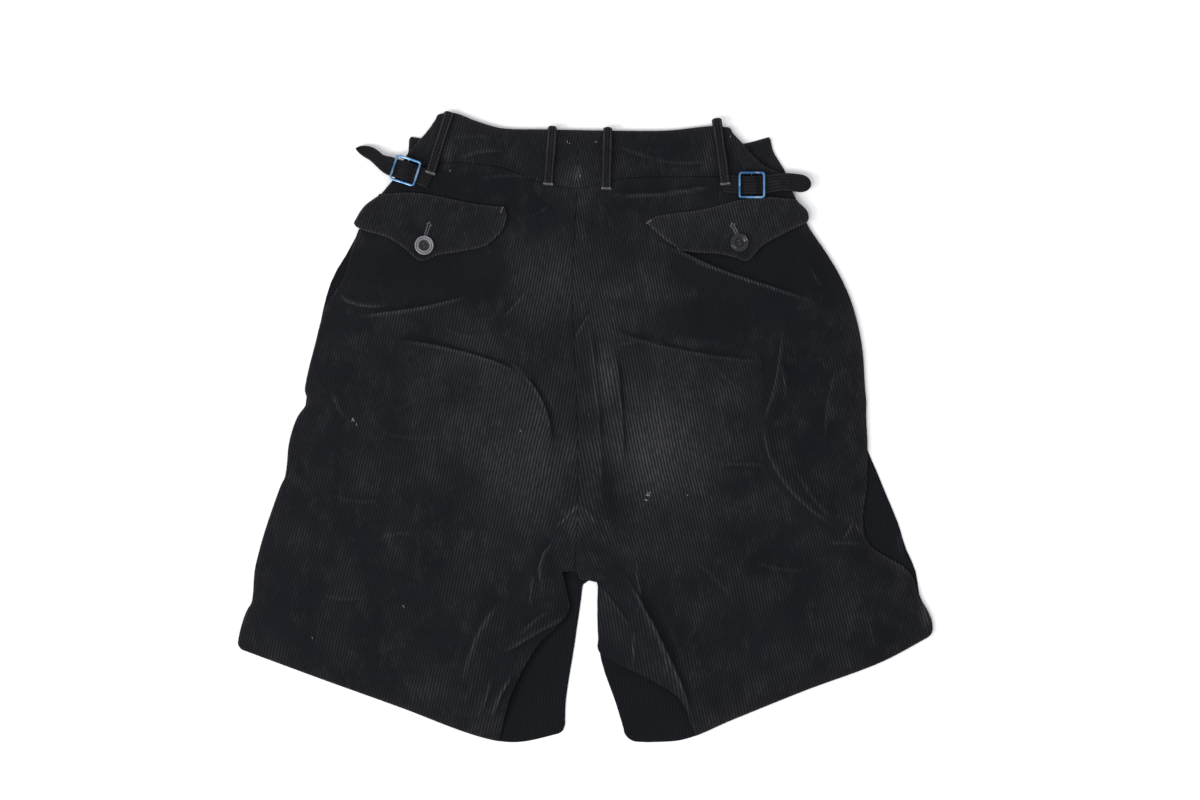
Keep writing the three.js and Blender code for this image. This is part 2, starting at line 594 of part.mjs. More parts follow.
function solid(geometry) {
  geometry.deleteAttribute('normal');
  geometry.deleteAttribute('uv');
  const merged = mergeVertices(geometry, 1e-4);
  return new wasm.Manifold(new wasm.Mesh({
    numProp: 3,
    vertProperties: new Float32Array(merged.attributes.position.array),
    triVerts: new Uint32Array(merged.index.array),
  }));
}

function fromSolid(body) {
  const made = body.getMesh();
  const geometry = new THREE.BufferGeometry();
  geometry.setAttribute('position', new THREE.BufferAttribute(made.vertProperties, 3));
  geometry.setIndex(new THREE.BufferAttribute(made.triVerts, 1));
  geometry.computeVertexNormals();
  return geometry;
}

function roundedSquare(side, corner) {
  const h = side / 2;
  const shape = new THREE.Shape();
  shape.moveTo(-h + corner, -h);
  shape.lineTo(h - corner, -h);
  shape.quadraticCurveTo(h, -h, h, -h + corner);
  shape.lineTo(h, h - corner);
  shape.quadraticCurveTo(h, h, h - corner, h);
  shape.lineTo(-h + corner, h);
  shape.quadraticCurveTo(-h, h, -h, h - corner);
  shape.lineTo(-h, -h + corner);
  shape.quadraticCurveTo(-h, -h, -h + corner, -h);
  return shape;
}

// A slide buckle round its strap: a flat square frame, and a bar across its middle set lower
function buckle(name, strap) {
  const outline = roundedSquare(BUCKLE_SIDE, BUCKLE_CORNER);
  const inside = BUCKLE_SIDE - 2 * BUCKLE_BAR;
  outline.holes.push(roundedSquare(inside, BUCKLE_CORNER / 2));
  const frame = new THREE.ExtrudeGeometry(outline, { depth: BUCKLE_THICK, bevelEnabled: false, curveSegments: 3 });
  const bar = new THREE.BoxGeometry(BUCKLE_MIDDLE, inside + BUCKLE_BAR, BUCKLE_THICK);
  bar.translate(0, 0, BUCKLE_THICK / 2 - BUCKLE_MIDDLE_DROP);
  const made = mesh(name, fromSolid(solid(frame).add(solid(bar))), STEEL);
  made.position.set(strap.buckle.x, strap.buckle.y, strapHeight(strap) + STRAP + SEAM);
  made.rotation.z = THREE.MathUtils.degToRad(strap.buckle.turn);
  return made;
}

// A sewn button: a disc with a raised rim and four holes
function button(name, { x, y, radius }, z, look) {
  const profile = [
    [0, 0], [radius - 0.8, 0], [radius, 0.7], [radius, BUTTON_THICK - 0.6], [radius - 0.8, BUTTON_THICK],
    [radius - 2, BUTTON_THICK], [radius - 3.2, BUTTON_THICK - 0.9], [0, BUTTON_THICK - 0.9],
  ].map(([r, h]) => new THREE.Vector2(r, h));
  const disc = new THREE.LatheGeometry(profile, BUTTON_SIDES);
  disc.rotateX(Math.PI / 2);
  let body = solid(disc);
  for (let i = 0; i < 4; i += 1) {
    const turn = (i + 0.5) * Math.PI / 2;
    const hole = new THREE.CylinderGeometry(BUTTON_HOLE, BUTTON_HOLE, 3 * BUTTON_THICK, 8);
    hole.rotateX(Math.PI / 2);
    hole.translate(BUTTON_HOLE_RING * Math.cos(turn), BUTTON_HOLE_RING * Math.sin(turn), 0);
    body = body.subtract(solid(hole));
  }
  const made = mesh(name, fromSolid(body), look);
  made.position.set(x, y, z);
  return made;
}

// Height at which a flap's button rests
function onFlap({ x, y, radius }) {
  const around = [[0, 0], [1, 0], [-1, 0], [0, 1], [0, -1]];
  const highest = Math.max(...around.map(([i, j]) => panelTop(x + i * radius, y + j * radius)));
  return highest + LIE + FLAP_LIFT + FLAP + SEAM;
}

function fly() {
  const half = FLY_WIDTH / 2;
  const rows = grid(FLY_ROWS, 2, {
    low: line({ x: -half, y: FLY_LOW }, { x: half, y: FLY_LOW }),
    top: line({ x: -half, y: FLY_TOP }, { x: half, y: FLY_TOP }),
    left: line({ x: -half, y: FLY_LOW }, { x: -half, y: FLY_TOP }),
    right: line({ x: half, y: FLY_LOW }, { x: half, y: FLY_TOP }),
  });
  return wall('fly', rows, (x, y) => frontHeight(x, y) + CLOTH + SEAM, CLOTH, CORDUROY);
}

const topMiddleX = CENTRE_BACK[CENTRE_BACK.length - 1].x;
const backBand = { lowLine: waistLow, topLine: waistTop, under: backHeight };
const frontBand = { lowLine: frontWaistLow, topLine: frontWaistTop, under: frontHeight, cols: FRONT_BAND_COLS };

const root = new THREE.Group();
root.add(
  backPanel('back_left', -1),
  backPanel('back_right', 1),
  frontPanel('front_left', -1),
  frontPanel('front_right', 1),
  band('waistband_back_left', {
    ...backBand, cols: BACK_COLS,
    lowFrom: SIDE_SEAM_LEFT.lowX, lowTo: topMiddleX - SEAM / 2,
    topFrom: SIDE_SEAM_LEFT.topX, topTo: topMiddleX - SEAM / 2,
  }),
  band('waistband_back_right', {
    ...backBand, cols: BACK_COLS,
    lowFrom: topMiddleX + SEAM / 2, lowTo: SIDE_SEAM_RIGHT.lowX,
    topFrom: topMiddleX + SEAM / 2, topTo: SIDE_SEAM_RIGHT.topX,
  }),
  band('waistband_side_left', {
    ...backBand, cols: SIDE_COLS, left: edge(BAND_END_LEFT),
    lowFrom: BAND_END_LEFT[0].x, lowTo: SIDE_SEAM_LEFT.lowX - SEAM,
    topFrom: BAND_END_LEFT[BAND_END_LEFT.length - 1].x, topTo: SIDE_SEAM_LEFT.topX - SEAM,
  }),
  band('waistband_side_right', {
    ...backBand, cols: SIDE_COLS, right: edge(BAND_END_RIGHT),
    lowFrom: SIDE_SEAM_RIGHT.lowX + SEAM, lowTo: BAND_END_RIGHT[0].x,
    topFrom: SIDE_SEAM_RIGHT.topX + SEAM, topTo: BAND_END_RIGHT[BAND_END_RIGHT.length - 1].x,
  }),
  band('waistband_front_left', {
    ...frontBand,
    lowFrom: FRONT_BAND_ENDS.lowLeft, lowTo: FRONT_CLOSURE_X,
    topFrom: FRONT_BAND_ENDS.topLeft, topTo: FRONT_CLOSURE_X,
  }),
  band('waistband_front_right', {
    ...frontBand,
    lowFrom: FRONT_CLOSURE_X + SEAM, lowTo: FRONT_BAND_ENDS.lowRight,
    topFrom: FRONT_CLOSURE_X + SEAM, topTo: FRONT_BAND_ENDS.topRight,
  }),
  fly(),
  flap('pocket_flap_left', FLAP_LEFT),
  flap('pocket_flap_right', FLAP_RIGHT),
  ...LOOPS.map(beltLoop),
  adjusterStrap('adjuster_strap_left', STRAP_LEFT),
  adjusterStrap('adjuster_strap_right', STRAP_RIGHT),
  buckle('buckle_left', STRAP_LEFT),
  buckle('buckle_right', STRAP_RIGHT),
  button('flap_button_left', BUTTON_LEFT, onFlap(BUTTON_LEFT), PALE_BUTTON),
  button('flap_button_right', BUTTON_RIGHT, onFlap(BUTTON_RIGHT), DARK_BUTTON),
  button('waist_button', WAIST_BUTTON, 0, DARK_BUTTON),
);

export default root;
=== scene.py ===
"""Corduroy shorts laid flat with the back up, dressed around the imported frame."""
import math

import bpy
import numpy as np
from mathutils import Matrix, Vector
from mathutils.geometry import delaunay_2d_cdt


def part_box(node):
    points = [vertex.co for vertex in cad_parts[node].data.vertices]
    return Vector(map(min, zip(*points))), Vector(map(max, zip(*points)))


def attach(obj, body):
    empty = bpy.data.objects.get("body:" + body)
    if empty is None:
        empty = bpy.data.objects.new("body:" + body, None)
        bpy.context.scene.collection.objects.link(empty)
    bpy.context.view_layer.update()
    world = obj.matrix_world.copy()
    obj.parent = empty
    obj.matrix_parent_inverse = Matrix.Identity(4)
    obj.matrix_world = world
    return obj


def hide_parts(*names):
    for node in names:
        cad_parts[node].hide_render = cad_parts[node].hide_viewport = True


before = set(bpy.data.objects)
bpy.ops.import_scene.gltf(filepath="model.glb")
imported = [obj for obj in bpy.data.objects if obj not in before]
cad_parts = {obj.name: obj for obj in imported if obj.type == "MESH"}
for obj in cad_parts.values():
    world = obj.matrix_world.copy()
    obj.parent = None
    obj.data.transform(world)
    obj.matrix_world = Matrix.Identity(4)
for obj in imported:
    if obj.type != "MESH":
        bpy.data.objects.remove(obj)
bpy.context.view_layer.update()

bl_info = {
    "name": "Corduroy shorts",
    "version": (1, 0, 0),
    "blender": (4, 5, 0),
    "location": "3D View > Sidebar > Shorts",
    "description": "Dresses flat-laid corduroy shorts with wales, folds, stitching and hardware",
    "category": "Object",
}

MM = 0.001
TAU = 2 * math.pi
SIDES = ("left", "right")

# Cloth and its layers, in millimetres, as the frame has them
CLOTH = 1.6
BAND = 2.6
FLAP = 2.4
STRAP = 2.0
SEAM = 0.3
LAYER = 0.3
LIE = 0.5
BULGE = 2.4  # how far the back stands off the front, and how far in from the edges it does so in full
BULGE_REACH = 38
STEP_ROOM = 13
FLAP_LIFT = 1.2
FLAP_SHEEN_AND_WEAR = 0.6  # how much of the pale crests of the folds under it, painted sheen and wear, a flap shows
EDGE_ROUND = 1.5  # radius of a turned edge
EDGE_LEAST = 0.04  # square of the share of its thickness that cloth has at its rim, as for a ribbon
EDGE_WEAR_REACH = 0.9  # how far in an edge has worn pale, and how far it has faded brown
EDGE_RUST_REACH = 6.0
SEAM_GROOVE = 0.28  # how deep the cloth dips where it is sewn to its neighbour
SEAM_REACH = 1.2
SEAM_SHOW = 0.01  # gap that is left open between two sewn edges
SEAM_LAP = 0.14  # how far the waistband's halves run over their seam, so that no floor shows in it

# How the cloth lies between its folds, in millimetres
SWELL, SWELL_SIZE, SWELL_SEED, SWELL_REACH = 0.6, 74, 3, 30
SWELL_BASE = 0.9
WRINKLES = ((0.3, 26, 5), (0.1, 11, 6))  # height, size and seed
WRINKLE_REACH = 14
FOLD_REACH = 16  # distance in from an edge at which a fold has its full height
FOLD_PAST = 4  # how far past the edge it would run out
DART_DEPTH, DART_WIDTH = 0.7, 1.1
BAND_NEAR = 3  # how far below the waistband its thickness still counts

# How wales lie: their lean to the centre back, how the seat pulls them, how they close up and wander
WALE_LEAN = 0.2
WALE_PULL, PULL_MIDDLE, PULL_WIDTH = 14, 20, 65
PULL_LOW, PULL_FULL, PULL_HIGH = -145, -60, 160
WALE_CLOSING = 0.00025
WALE_DRIFTS = ((0.9, 47, 60), (0.5, 21, -33))

# The mesh
UNDER_SPACING = 9  # spacing of the points on the side that faces the inside of the garment
COLUMNS = 3  # mesh columns on each wale of a panel, and of a strap or loop
RIBBON_COLUMNS = 4
RIBBON_STEPS = 90  # mesh rows along a strap or loop
RIBBON_LEAST = 0.05
RIBBON_RUST = 0.3  # how far a strap or loop has faded brown
NO_TRIANGLES = np.zeros((0, 3), int)
ACROSS, ACROSS_SAMPLES = (-380, 150), 4000  # where a piece's sides are looked for
WALES = (-345, 110)  # the first and the last wale that a piece may have
WALE_MARGIN = 0.12  # the least gap between a wale's mesh column and a side of its piece
END_GAIN, END_ROWS = 4, 2  # how much closer mesh rows are at both ends, and over how many rows
DENSE_RAMP = 0.03  # share of a piece's height over which its rows get closer
FAR = 99.0  # distance to an edge that a piece hasn't got


def table(columns, *rows):
    """A short table: its column names in one string, then its rows."""
    names = columns.split()
    return [dict(zip(names, row)) for row in rows]


# Sections of the body from the hem up: the folded sides of the back and the reach of the front
SECTIONS = table(
    "y back_left back_right front_left front_right",
    (-199, -313, 313, -311, 311),
    (-187, -311, 313, -309.5, 311.5),
    (-174, -307.5, 311.8, -306, 310),
    (-165, -304, 308, -302, 306),
    (-157, -299.5, 303.2, -298.5, 302),
    (-129, -297, 290, -296, 297),
    (-108, -292, 258, -291, 288),
    (-88, -286, 250, -285, 282),
    (-54, -274, 253.5, -272.5, 268),
    (-44, -269.5, 254, -268.5, 264),
    (-14, -266, 254, -265, 252),
    (8, -259, 253, -258, 252),
    (22, -250, 253, -249, 251),
    (34, -252, 252, -251, 251),
    (73, -243, 249, -242, 248),
    (108, -233, 241, -235, 240),
    (134, -217, 230, -227, 229),
    (156, -211, 217, -214, 216),
    (180, -202, 201, -201, 200),
    (204, -187, 190, -185, 189),
    (226, -169, 180, -167, 181),
)
HEM_LEFT = table("x y", (-313, -199), (-240, -226), (-165, -253), (-98, -278), (-62, -284), (-18, -275))
HEM_RIGHT = table(
    "x y", (38, -283), (60, -284), (91, -281), (132, -264), (199, -237), (266, -212), (313, -187)
)
INSEAM_BACK_LEFT = table(
    "x y", (-77, -281), (-65, -238), (-42, -196), (-26, -180), (-14, -164), (-16, -148), (-20, -131),
    (-9, -129),
)
INSEAM_BACK_RIGHT = table(
    "x y", (99, -278), (84, -245), (60, -228), (15, -205), (12, -188), (11, -160), (11.4, -144),
    (10.6, -140), (8, -138.8), (-2.3, -138), (-6.5, -132.5), (-9, -130),
)
INSEAM_FRONT_LEFT = table(
    "x y", (-18, -275), (-17, -245), (-10, -200), (-3, -152), (-2.2, -144), (-1.2, -140.4), (0.8, -139.2),
    (4, -139),
)
INSEAM_FRONT_RIGHT = table(
    "x y", (38, -283), (28, -250), (14, -208), (11, -170), (11.8, -145), (11, -141), (9, -139.4), (4, -139)
)
CENTRE_BACK = table("x y", (-9, -130), (-6, -75), (-6, -20), (-9, 60), (-11, 131), (-7, 214), (-6, 268))
CENTRE_FRONT = table("x y", (4, -139), (2, -40), (0, 195))
WAIST_TOP = table(
    "x y", (-131, 281), (-118, 282), (-96, 274), (-74, 268), (-33, 267), (20, 266), (74, 266), (113, 270),
    (128, 269),
)
WAIST_LOW = table(
    "x y", (-169, 226), (-137, 236), (-104, 237), (-71, 232), (-40, 220), (-7, 214), (23, 221), (50, 224),
    (124, 225), (180, 226),
)
FRONT_WAIST_TOP = table("x y", (-158, 261), (-80, 247), (0, 243), (82, 247), (143, 254.5), (166, 260.5))
FRONT_WAIST_DEPTH = 48
BAND_END_LEFT = table("x y", (-169, 226), (-160, 244), (-142, 265), (-131, 281))
BAND_END_RIGHT = table("x y", (180, 226), (160, 235), (143, 253), (128, 269))
SIDE_SEAM_LEFT = table("x y", (-137, 236), (-123, 282))
SIDE_SEAM_RIGHT = table("x y", (124, 225), (117, 270))
FRONT_END_LEFT = table("x y", (-178, 205), (-172, 222), (-163, 234), (-159.6, 243), (-158, 261))
FRONT_END_RIGHT = table("x y", (190, 205), (180, 229.5), (174.6, 238.5), (169.7, 247), (166.3, 261))
FRONT_CLOSURE_X = 20
WAIST_BUTTON_X, WAIST_BUTTON_Y = 8, 219
WAIST_BUTTON_RISE, WAIST_BUTTON_FLAT, WAIST_BUTTON_DOME = 3.2, 11, 30
FLY_WIDTH, FLY_LOW, FLY_TOP = 38, 40, 193

# Folds of the back: three points of the crest, its height and width, its soft side and its wear, which
# also sets the painted sheen on its crest
FOLDS = table(
    "x1 y1 xm ym x2 y2 height width soft wear",
    (-222, 119, -205, 106, -178, 109, 3.2, 8, 1, 0.7),
    (-206, 99, -150, 100, -104, 117, 3.8, 9, -1, 0.7),
    (-172, 77, -105, 68, -56, 46, 4.4, 10, -1, 0.7),
    (-62, 50, -34, 28, -30, -20, 4.4, 10, -1, 0.8),
    (-50, 124, -60, 110, -75, 96, 1.4, 12, 1, 0.4),
    (-228, 34, -224, 18, -212, 5, 1.6, 10, 1, 0.3),
    (-26, -103, -44, -118, -38, -144, 3.8, 9, 1, 0.6),
    (-76, -204, -48, -184, -13, -168, 5.0, 11, 1, 0.5),
    (-83, -262, -80, -240, -64, -222, 2.6, 9, 1, 0.7),
    (-74, -155, -102, -186, -110, -232, 1.6, 15, 1, 0.4),
    (72, 164, 108, 138, 213, 110, 4.4, 11, -1, 0.7),
    (18, 88, 78, 62, 168, 57, 3.0, 12, -1, 0.35),
    (178, 90, 176, 34, 160, 4, 4.2, 10, 1, 0.4),
    (160, 8, 160, -50, 230, -93, 4.0, 10, 1, 0.45),
    (241, -84, 239, -93, 232, -101, 2.4, 7, 1, 0.4),
    (25, 72, 33, 20, 34, -40, 2.8, 8, -1, 0.6),
    (2, 102, 12, 36, 15, -72, 1.5, 9, -1, 0.4),
    (34, -132, 70, -192, 97, -264, 5.0, 10, -1, 0.7),
    (120, -34, 142, -33, 164, -35, 1.4, 8, 1, 0.3),
    (20, 208, 66, 204, 120, 217, 2.0, 8, -1, 0.6),
    (-112, 240, -96, 250, -72, 247, 1.2, 9, 1, 0.35),
    (-51, 10, -56, -30, -60, -80, 1.6, 34, 1, 0),
    (67, 30, 70, -10, 74, -60, 1.6, 34, 1, 0),
)

# Finer creases between them
CREASES = table(
    "x1 y1 xm ym x2 y2 height width soft wear",
    (-69, 60, -56, 46, -44, 41, 1.2, 4, 1, 0.5),
    (-128, 90, -112, 78, -92, 82, 0.8, 6, -1, 0.3),
    (-34, -2, -33, -24, -38, -46, 1.0, 5, 1, 0.5),
    (-45, -131, -50, -146, -48, -163, 1.6, 5, 1, 0.5),
    (-62, -188, -44, -170, -30, -164, 1.2, 5, -1, 0.4),
    (-97, -262, -88, -244, -84, -224, 1.0, 5, 1, 0.4),
    (-184, -6, -150, -14, -120, -8, 0.6, 9, 1, 0.2),
    (46, -116, 47, -150, 58, -190, 2.0, 5, 1, 0.4),
    (58, -178, 68, -198, 74, -222, 1.4, 4, 1, 0.5),
    (218, -105, 232, -103, 251, -106, 1.2, 4, 1, 0.4),
    (241, -84, 244, -90, 249, -98, 1.0, 4, 1, 0.4),
    (-103, 199, -112, 195, -122, 187, 0.6, 5, 1, 0.4),
    (-49, 124, -40, 140, -22, 150, 0.3, 6, 1, 0.2),
    (186, -34, 204, -66, 224, -84, 1.0, 6, 1, 0.3),
    (176, 60, 182, 42, 180, 24, 1.4, 5, 1, 0.4),
    (112, 58, 128, 38, 150, 26, 0.8, 7, 1, 0.3),
    (24, 70, 48, 80, 80, 72, 0.9, 5, 1, 0.4),
    (92, 148, 120, 136, 150, 132, 0.8, 5, 1, 0.4),
    (-30, 200, -44, 188, -64, 186, 0.7, 6, 1, 0.2),
    (-96, 222, -70, 228, -40, 222, 1.0, 6, 1, 0.25),
    (-122, 258, -104, 263, -80, 258, 0.6, 6, 1, 0.2),
    (60, 240, 84, 234, 112, 238, 0.7, 6, 1, 0.3),
    (30, 252, 44, 244, 66, 240, 0.6, 6, 1, 0.3),
    (200, 150, 206, 134, 214, 124, 1.0, 5, 1, 0.25),
    (228, 60, 214, 20, 216, -20, 0.8, 10, 1, 0.2),
    (13, -144, 24, -156, 42, -184, 1.8, 4, -1, 0.3),
    (43, -183, 44, -200, 43, -215, 1.0, 4, 1, 0.5),
    (-5, -70, -14, -78, -27, -92, 1.3, 4, -1, 0.9),
    (-5, -70, 4, -78, 12, -90, 0.9, 4, 1, 0.5),
    (-44, 160, -26, 134, -12, 100, 0.7, 12, 1, 0.35),
    (6, 104, -1, 92, -10, 78, 1.5, 6, 1, 0.5),
    (4, 120, 14, 126, 34, 124, 0.6, 8, 1, 0.2),
    (-150, 30, -128, 22, -100, 26, 0.6, 8, 1, 0.2),
    (-232, -60, -206, -70, -180, -66, 0.6, 9, -1, 0.2),
    (-190, -104, -168, -92, -150, -98, 0.5, 8, 1, 0.2),
    (150, -120, 176, -132, 200, -128, 0.6, 9, -1, 0.2),
    (96, -120, 118, -134, 132, -156, 0.6, 9, 1, 0.2),
    (-240, -150, -212, -160, -190, -150, 0.6, 10, 1, 0.2),
)
FOLD_SAMPLES = 18
FOLD_END = 0.15  # share of its height that a fold keeps at its ends
FOLD_RISE = 4  # how fast it rises from them, along its length
CREST_STEEP = 0.8  # a crest's reach on its steep and its soft side, in fold widths
CREST_SOFT = 1.7
CREST_LEAN = 0.4  # how far a crest leans over its steep side, in its own heights
CREST_SHARP = 0.6  # share of a fold's height that is in its narrow crest
SHARP_STEEP = 0.24  # the narrow crest's reach on its steep and its soft side, in fold widths
SHARP_SOFT = 0.85
SHARP_LEAST = 2.6
CREST_SHEEN_AND_WEAR = 0.62  # how pale a crest with a wear of 1 is: painted highlight of the pile's sheen on the crest, and its wear
PALE_CREST_CLEARS_SHADE = 0.2  # paleness of a crest past which none of the painted shade of the patches round it is left
SHEEN_WEAR_LINE, SHEEN_WEAR_GROWTH = 0.75, 0.06  # reach of the pale line, painted sheen and wear, and how it grows with the fold's width
SHEEN_WEAR_STEEP, SHEEN_WEAR_SOFT = 0.9, 1.3
LEE_SHADE = 0.3  # how much darker the pile beside a crest is painted, as shade in the fold's lee
LEE_REACH, LEE_START = 0.55, 2
LEE_HEIGHT = 3  # height of a fold whose lee is fully shaded

# Short seams that run down from the waistband under the outer loops
DARTS = table("x1 y1 x2 y2", (-136, 230, -135, 207), (121, 217, 121, 200))

# Places that have worn pale, and with a wear below 0 painted shade: under the flaps and straps and beside
# folds
WEAR_AND_SHADE_PATCHES = table(
    "x y wide long wear",
    (-51, -31, 44, 60, 0.27),
    (67, -12, 50, 62, 0.33),
    (-84, 20, 70, 70, 0.12),
    (120, 10, 60, 60, 0.04),
    (-7, 226, 5, 9, 0.45),
    (-10, 224, 26, 16, 0.12),
    (-124, 246, 5, 12, 0.25),
    (112, 246, 5, 14, 0.16),
    (-30, 130, 50, 40, 0.17),
    (20, 95, 26, 26, 0.2),
    (60, 120, 60, 50, 0.08),
    (-12, -84, 12, 16, 0.22),
    (28, 122, 18, 12, 0.22),
    (18, 44, 11, 36, 0.3),
    # Painted shade beside a fold
    (22, -52, 8, 24, -0.16),
    (284, -106, 8, 20, 0.5),
    (270, -84, 14, 26, 0.25),
    (306, -168, 5, 12, 0.35),
    (88, 72, 34, 8, 0.2),
    (-28, 132, 18, 24, 0.24),
    (122, 26, 26, 16, 0.14),
    # Painted shade under the flaps, beside folds and under the straps
    (-140, 140, 72, 20, -0.26),
    (152, 142, 62, 22, -0.3),
    (112, 98, 46, 20, -0.14),
    (-150, 222, 40, 10, -0.2),
    (150, 215, 40, 10, -0.2),
)

FLAPS = {
    "left": {
        "low": table(
            "x y", (-209, 181), (-198, 176), (-178, 170), (-163, 161), (-148, 149), (-131, 154),
            (-112, 157), (-88, 163), (-75, 174),
        ),
        "top": table("x y", (-183, 209), (-160, 210), (-138, 208), (-100, 200), (-72, 197)),
        "outer": table("x y", (-209, 181), (-198, 198), (-183, 209)),
        "inner": table("x y", (-75, 174), (-70, 188), (-72, 197)),
        "shade": -0.03,
    },
    "right": {
        "low": table(
            "x y", (86, 157), (100, 156), (120, 155), (134, 152), (146, 149), (159, 162), (178, 173),
            (201, 184),
        ),
        "top": table("x y", (54, 184), (66, 189), (107, 195), (138, 203), (164, 206), (189, 204)),
        "outer": table("x y", (201, 184), (200, 193), (189, 204)),
        "inner": table("x y", (86, 157), (70, 169), (54, 184)),
        "shade": -0.08,
    },
}
LOOPS = table(
    "name top_x top_y foot_x foot_y strap",
    ("left_side", -121.5, 282.7, -139, 226, "left"),
    ("left_back", -29, 270, -33, 216, None),
    ("right_back", 20.5, 269, 19, 212, None),
    ("right_side", 118, 277, 126, 216, "right"),
)
LOOP_WIDTH = 8.6
LOOP_THICK = 1.8
LOOP_ARCH = 1.4
LOOP_ROLL = 2.2
LOOP_WALES = 3
LOOP_FOOT_ROUND = 1.3
LOOP_TOP_ROUND = 2.6
LOOP_WAVER, LOOP_WAVER_SIZE = 0.25, 6.1  # how unevenly its sides run
LOOP_LINE, LOOP_LINE_REACH = 0.8, 0.55  # its sides' worn line: how far in it is, and its reach
LOOP_LINE_WEAR, LOOP_LINE_MORE = 0.2, 0.16  # that line's wear at the foot, and how much more at the top
LOOP_END_WEAR, LOOP_END_REACH = 0.25, 1.5
LOOP_DYE = 0.04  # how much of its dye the rest has kept
LOOP_CLEARS, LOOP_CLEARS_RAMP = 0.55, 0.2  # share of its length over which it clears its strap
STRAP_WIDTH = 16.6
STRAP_ROLL = 1.2
STRAP_WALES = 6
STRAP_WEAR, STRAP_WEAR_REACH, STRAP_DYE = 0.2, 0.7, 0.05
STRAP_FREE = 14
STRAP_HUMP = 3.2
HUMP_FLAT = 1.6
HUMP_FOOT = 8.6
HUMP_CREASE = 0.16  # fine creases where a strap bends over its buckle's bar
HUMP_CREASE_PITCH = 2.3
HUMP_CREASE_SLANT = 0.12
STRAPS = {
    "left": {
        "route": table(
            "x y", (-138, 221), (-149, 225.5), (-161, 229.5), (-173, 233), (-183, 238), (-191, 244.5),
            (-199, 248), (-206, 250),
        ),
        "buckle": (-161, 229.5), "turn": -18, "free_width": 11.5, "droop": 4.5, "tip": 15, "point": 0.72,
    },
    "right": {
        "route": table(
            "x y", (124.5, 218), (137, 217), (149.5, 216.5), (162, 217.5), (180, 219.5), (203, 217)
        ),
        "buckle": (149.5, 216.5), "turn": 0, "free_width": 16, "droop": 2.5, "tip": 10, "point": 0.5,
    },
}
BUCKLE_SIDE = 24
BUCKLE_BAR = 2.1
BUCKLE_THICK = 2.0
BUCKLE_CORNER = 2.2
ROD_RADIUS = 0.7  # the rod across the buckle, and how far it hangs at its ends and its middle
ROD_LOW = 0.3
ROD_DROP = 1.4
BUTTON_THICK = 2.8
BUTTON_HOLE_RING = 2.1
BUTTON_HOLE = 1.1
BUTTON_TURN = math.radians(20)
BUTTON_SEGMENTS = 64


# Small functions on numbers and arrays

def smooth(t):
    """An even step from 0 to 1."""
    t = np.clip(t, 0, 1)
    return t * t * (3 - 2 * t)


def mix(a, b, t):
    return a + (b - a) * t


def column_curve(rows, along, across):
    """A table's column as a smooth function of another column, which rises or falls with its rows."""
    xs = np.array([row[along] for row in rows], float)
    ys = np.array([row[across] for row in rows], float)
    if xs[0] > xs[-1]:
        xs, ys = xs[::-1], ys[::-1]
    before = np.maximum(np.arange(len(xs)) - 1, 0)
    after = np.minimum(np.arange(len(xs)) + 1, len(xs) - 1)
    slopes = (ys[after] - ys[before]) / (xs[after] - xs[before])

    def curve(value):
        at = np.clip(np.asarray(value, float), xs[0], xs[-1])
        i = np.clip(np.searchsorted(xs, at, side="right") - 1, 0, len(xs) - 2)
        span = xs[i + 1] - xs[i]
        t = (at - xs[i]) / span
        ends = mix(ys[i], ys[i + 1], t * t * (3 - 2 * t))
        return ends + span * t * (1 - t) * ((1 - t) * slopes[i] - t * slopes[i + 1])

    return curve


def straight(rows, along="y", across="x"):
    """A table's two rows as a straight line that runs on past them."""
    (a, b), (c, d) = [(row[along], row[across]) for row in rows]
    return lambda value: b + (d - b) * (np.asarray(value, float) - a) / (c - a)


def ripple(x, y, size, seed):
    """Soft waves about size long, mostly from -1 to 1, the same for the same seed."""
    draw = np.random.default_rng(seed)
    turns, phases, scales = draw.uniform(0, TAU, 5), draw.uniform(0, TAU, 5), draw.uniform(0.7, 1.5, 5)
    total = 0
    for turn, phase, scale in zip(turns, phases, scales):
        total = total + np.sin((x * math.cos(turn) + y * math.sin(turn)) * TAU / (size * scale) + phase)
    return total / 3


def roundness(gap, radius, least=0):
    """Share of its full size that a round edge has near its rim; at the rim it is the root of least."""
    return np.sqrt(np.clip(1 - (1 - np.minimum(gap, radius) / radius) ** 2, least, 1))


def path_lengths(x, y):
    """Length along a path from its start to each of its points."""
    return np.concatenate([[0], np.cumsum(np.hypot(np.diff(x), np.diff(y)))])


back_left_edge = column_curve(SECTIONS, "y", "back_left")
back_right_edge = column_curve(SECTIONS, "y", "back_right")
front_left_edge = column_curve(SECTIONS, "y", "front_left")
front_right_edge = column_curve(SECTIONS, "y", "front_right")
waist_top = column_curve(WAIST_TOP, "x", "y")
waist_low = column_curve(WAIST_LOW, "x", "y")
front_waist_top = column_curve(FRONT_WAIST_TOP, "x", "y")
hem_left = column_curve(HEM_LEFT, "x", "y")
hem_right = column_curve(HEM_RIGHT, "x", "y")
front_inner_left = column_curve(INSEAM_FRONT_LEFT, "y", "x")
front_inner_right = column_curve(INSEAM_FRONT_RIGHT, "y", "x")
centre_back = column_curve(CENTRE_BACK, "y", "x")
centre_front = column_curve(CENTRE_FRONT, "y", "x")
back_inner_left = column_curve(INSEAM_BACK_LEFT[:-1], "y", "x")
back_inner_right = column_curve(INSEAM_BACK_RIGHT, "y", "x")
CROTCH_X, CROTCH_Y = INSEAM_FRONT_LEFT[-1]["x"], INSEAM_FRONT_LEFT[-1]["y"]
CROTCH_BACK_Y = CENTRE_BACK[0]["y"]


def front_waist_low(x):
    return front_waist_top(x) - FRONT_WAIST_DEPTH


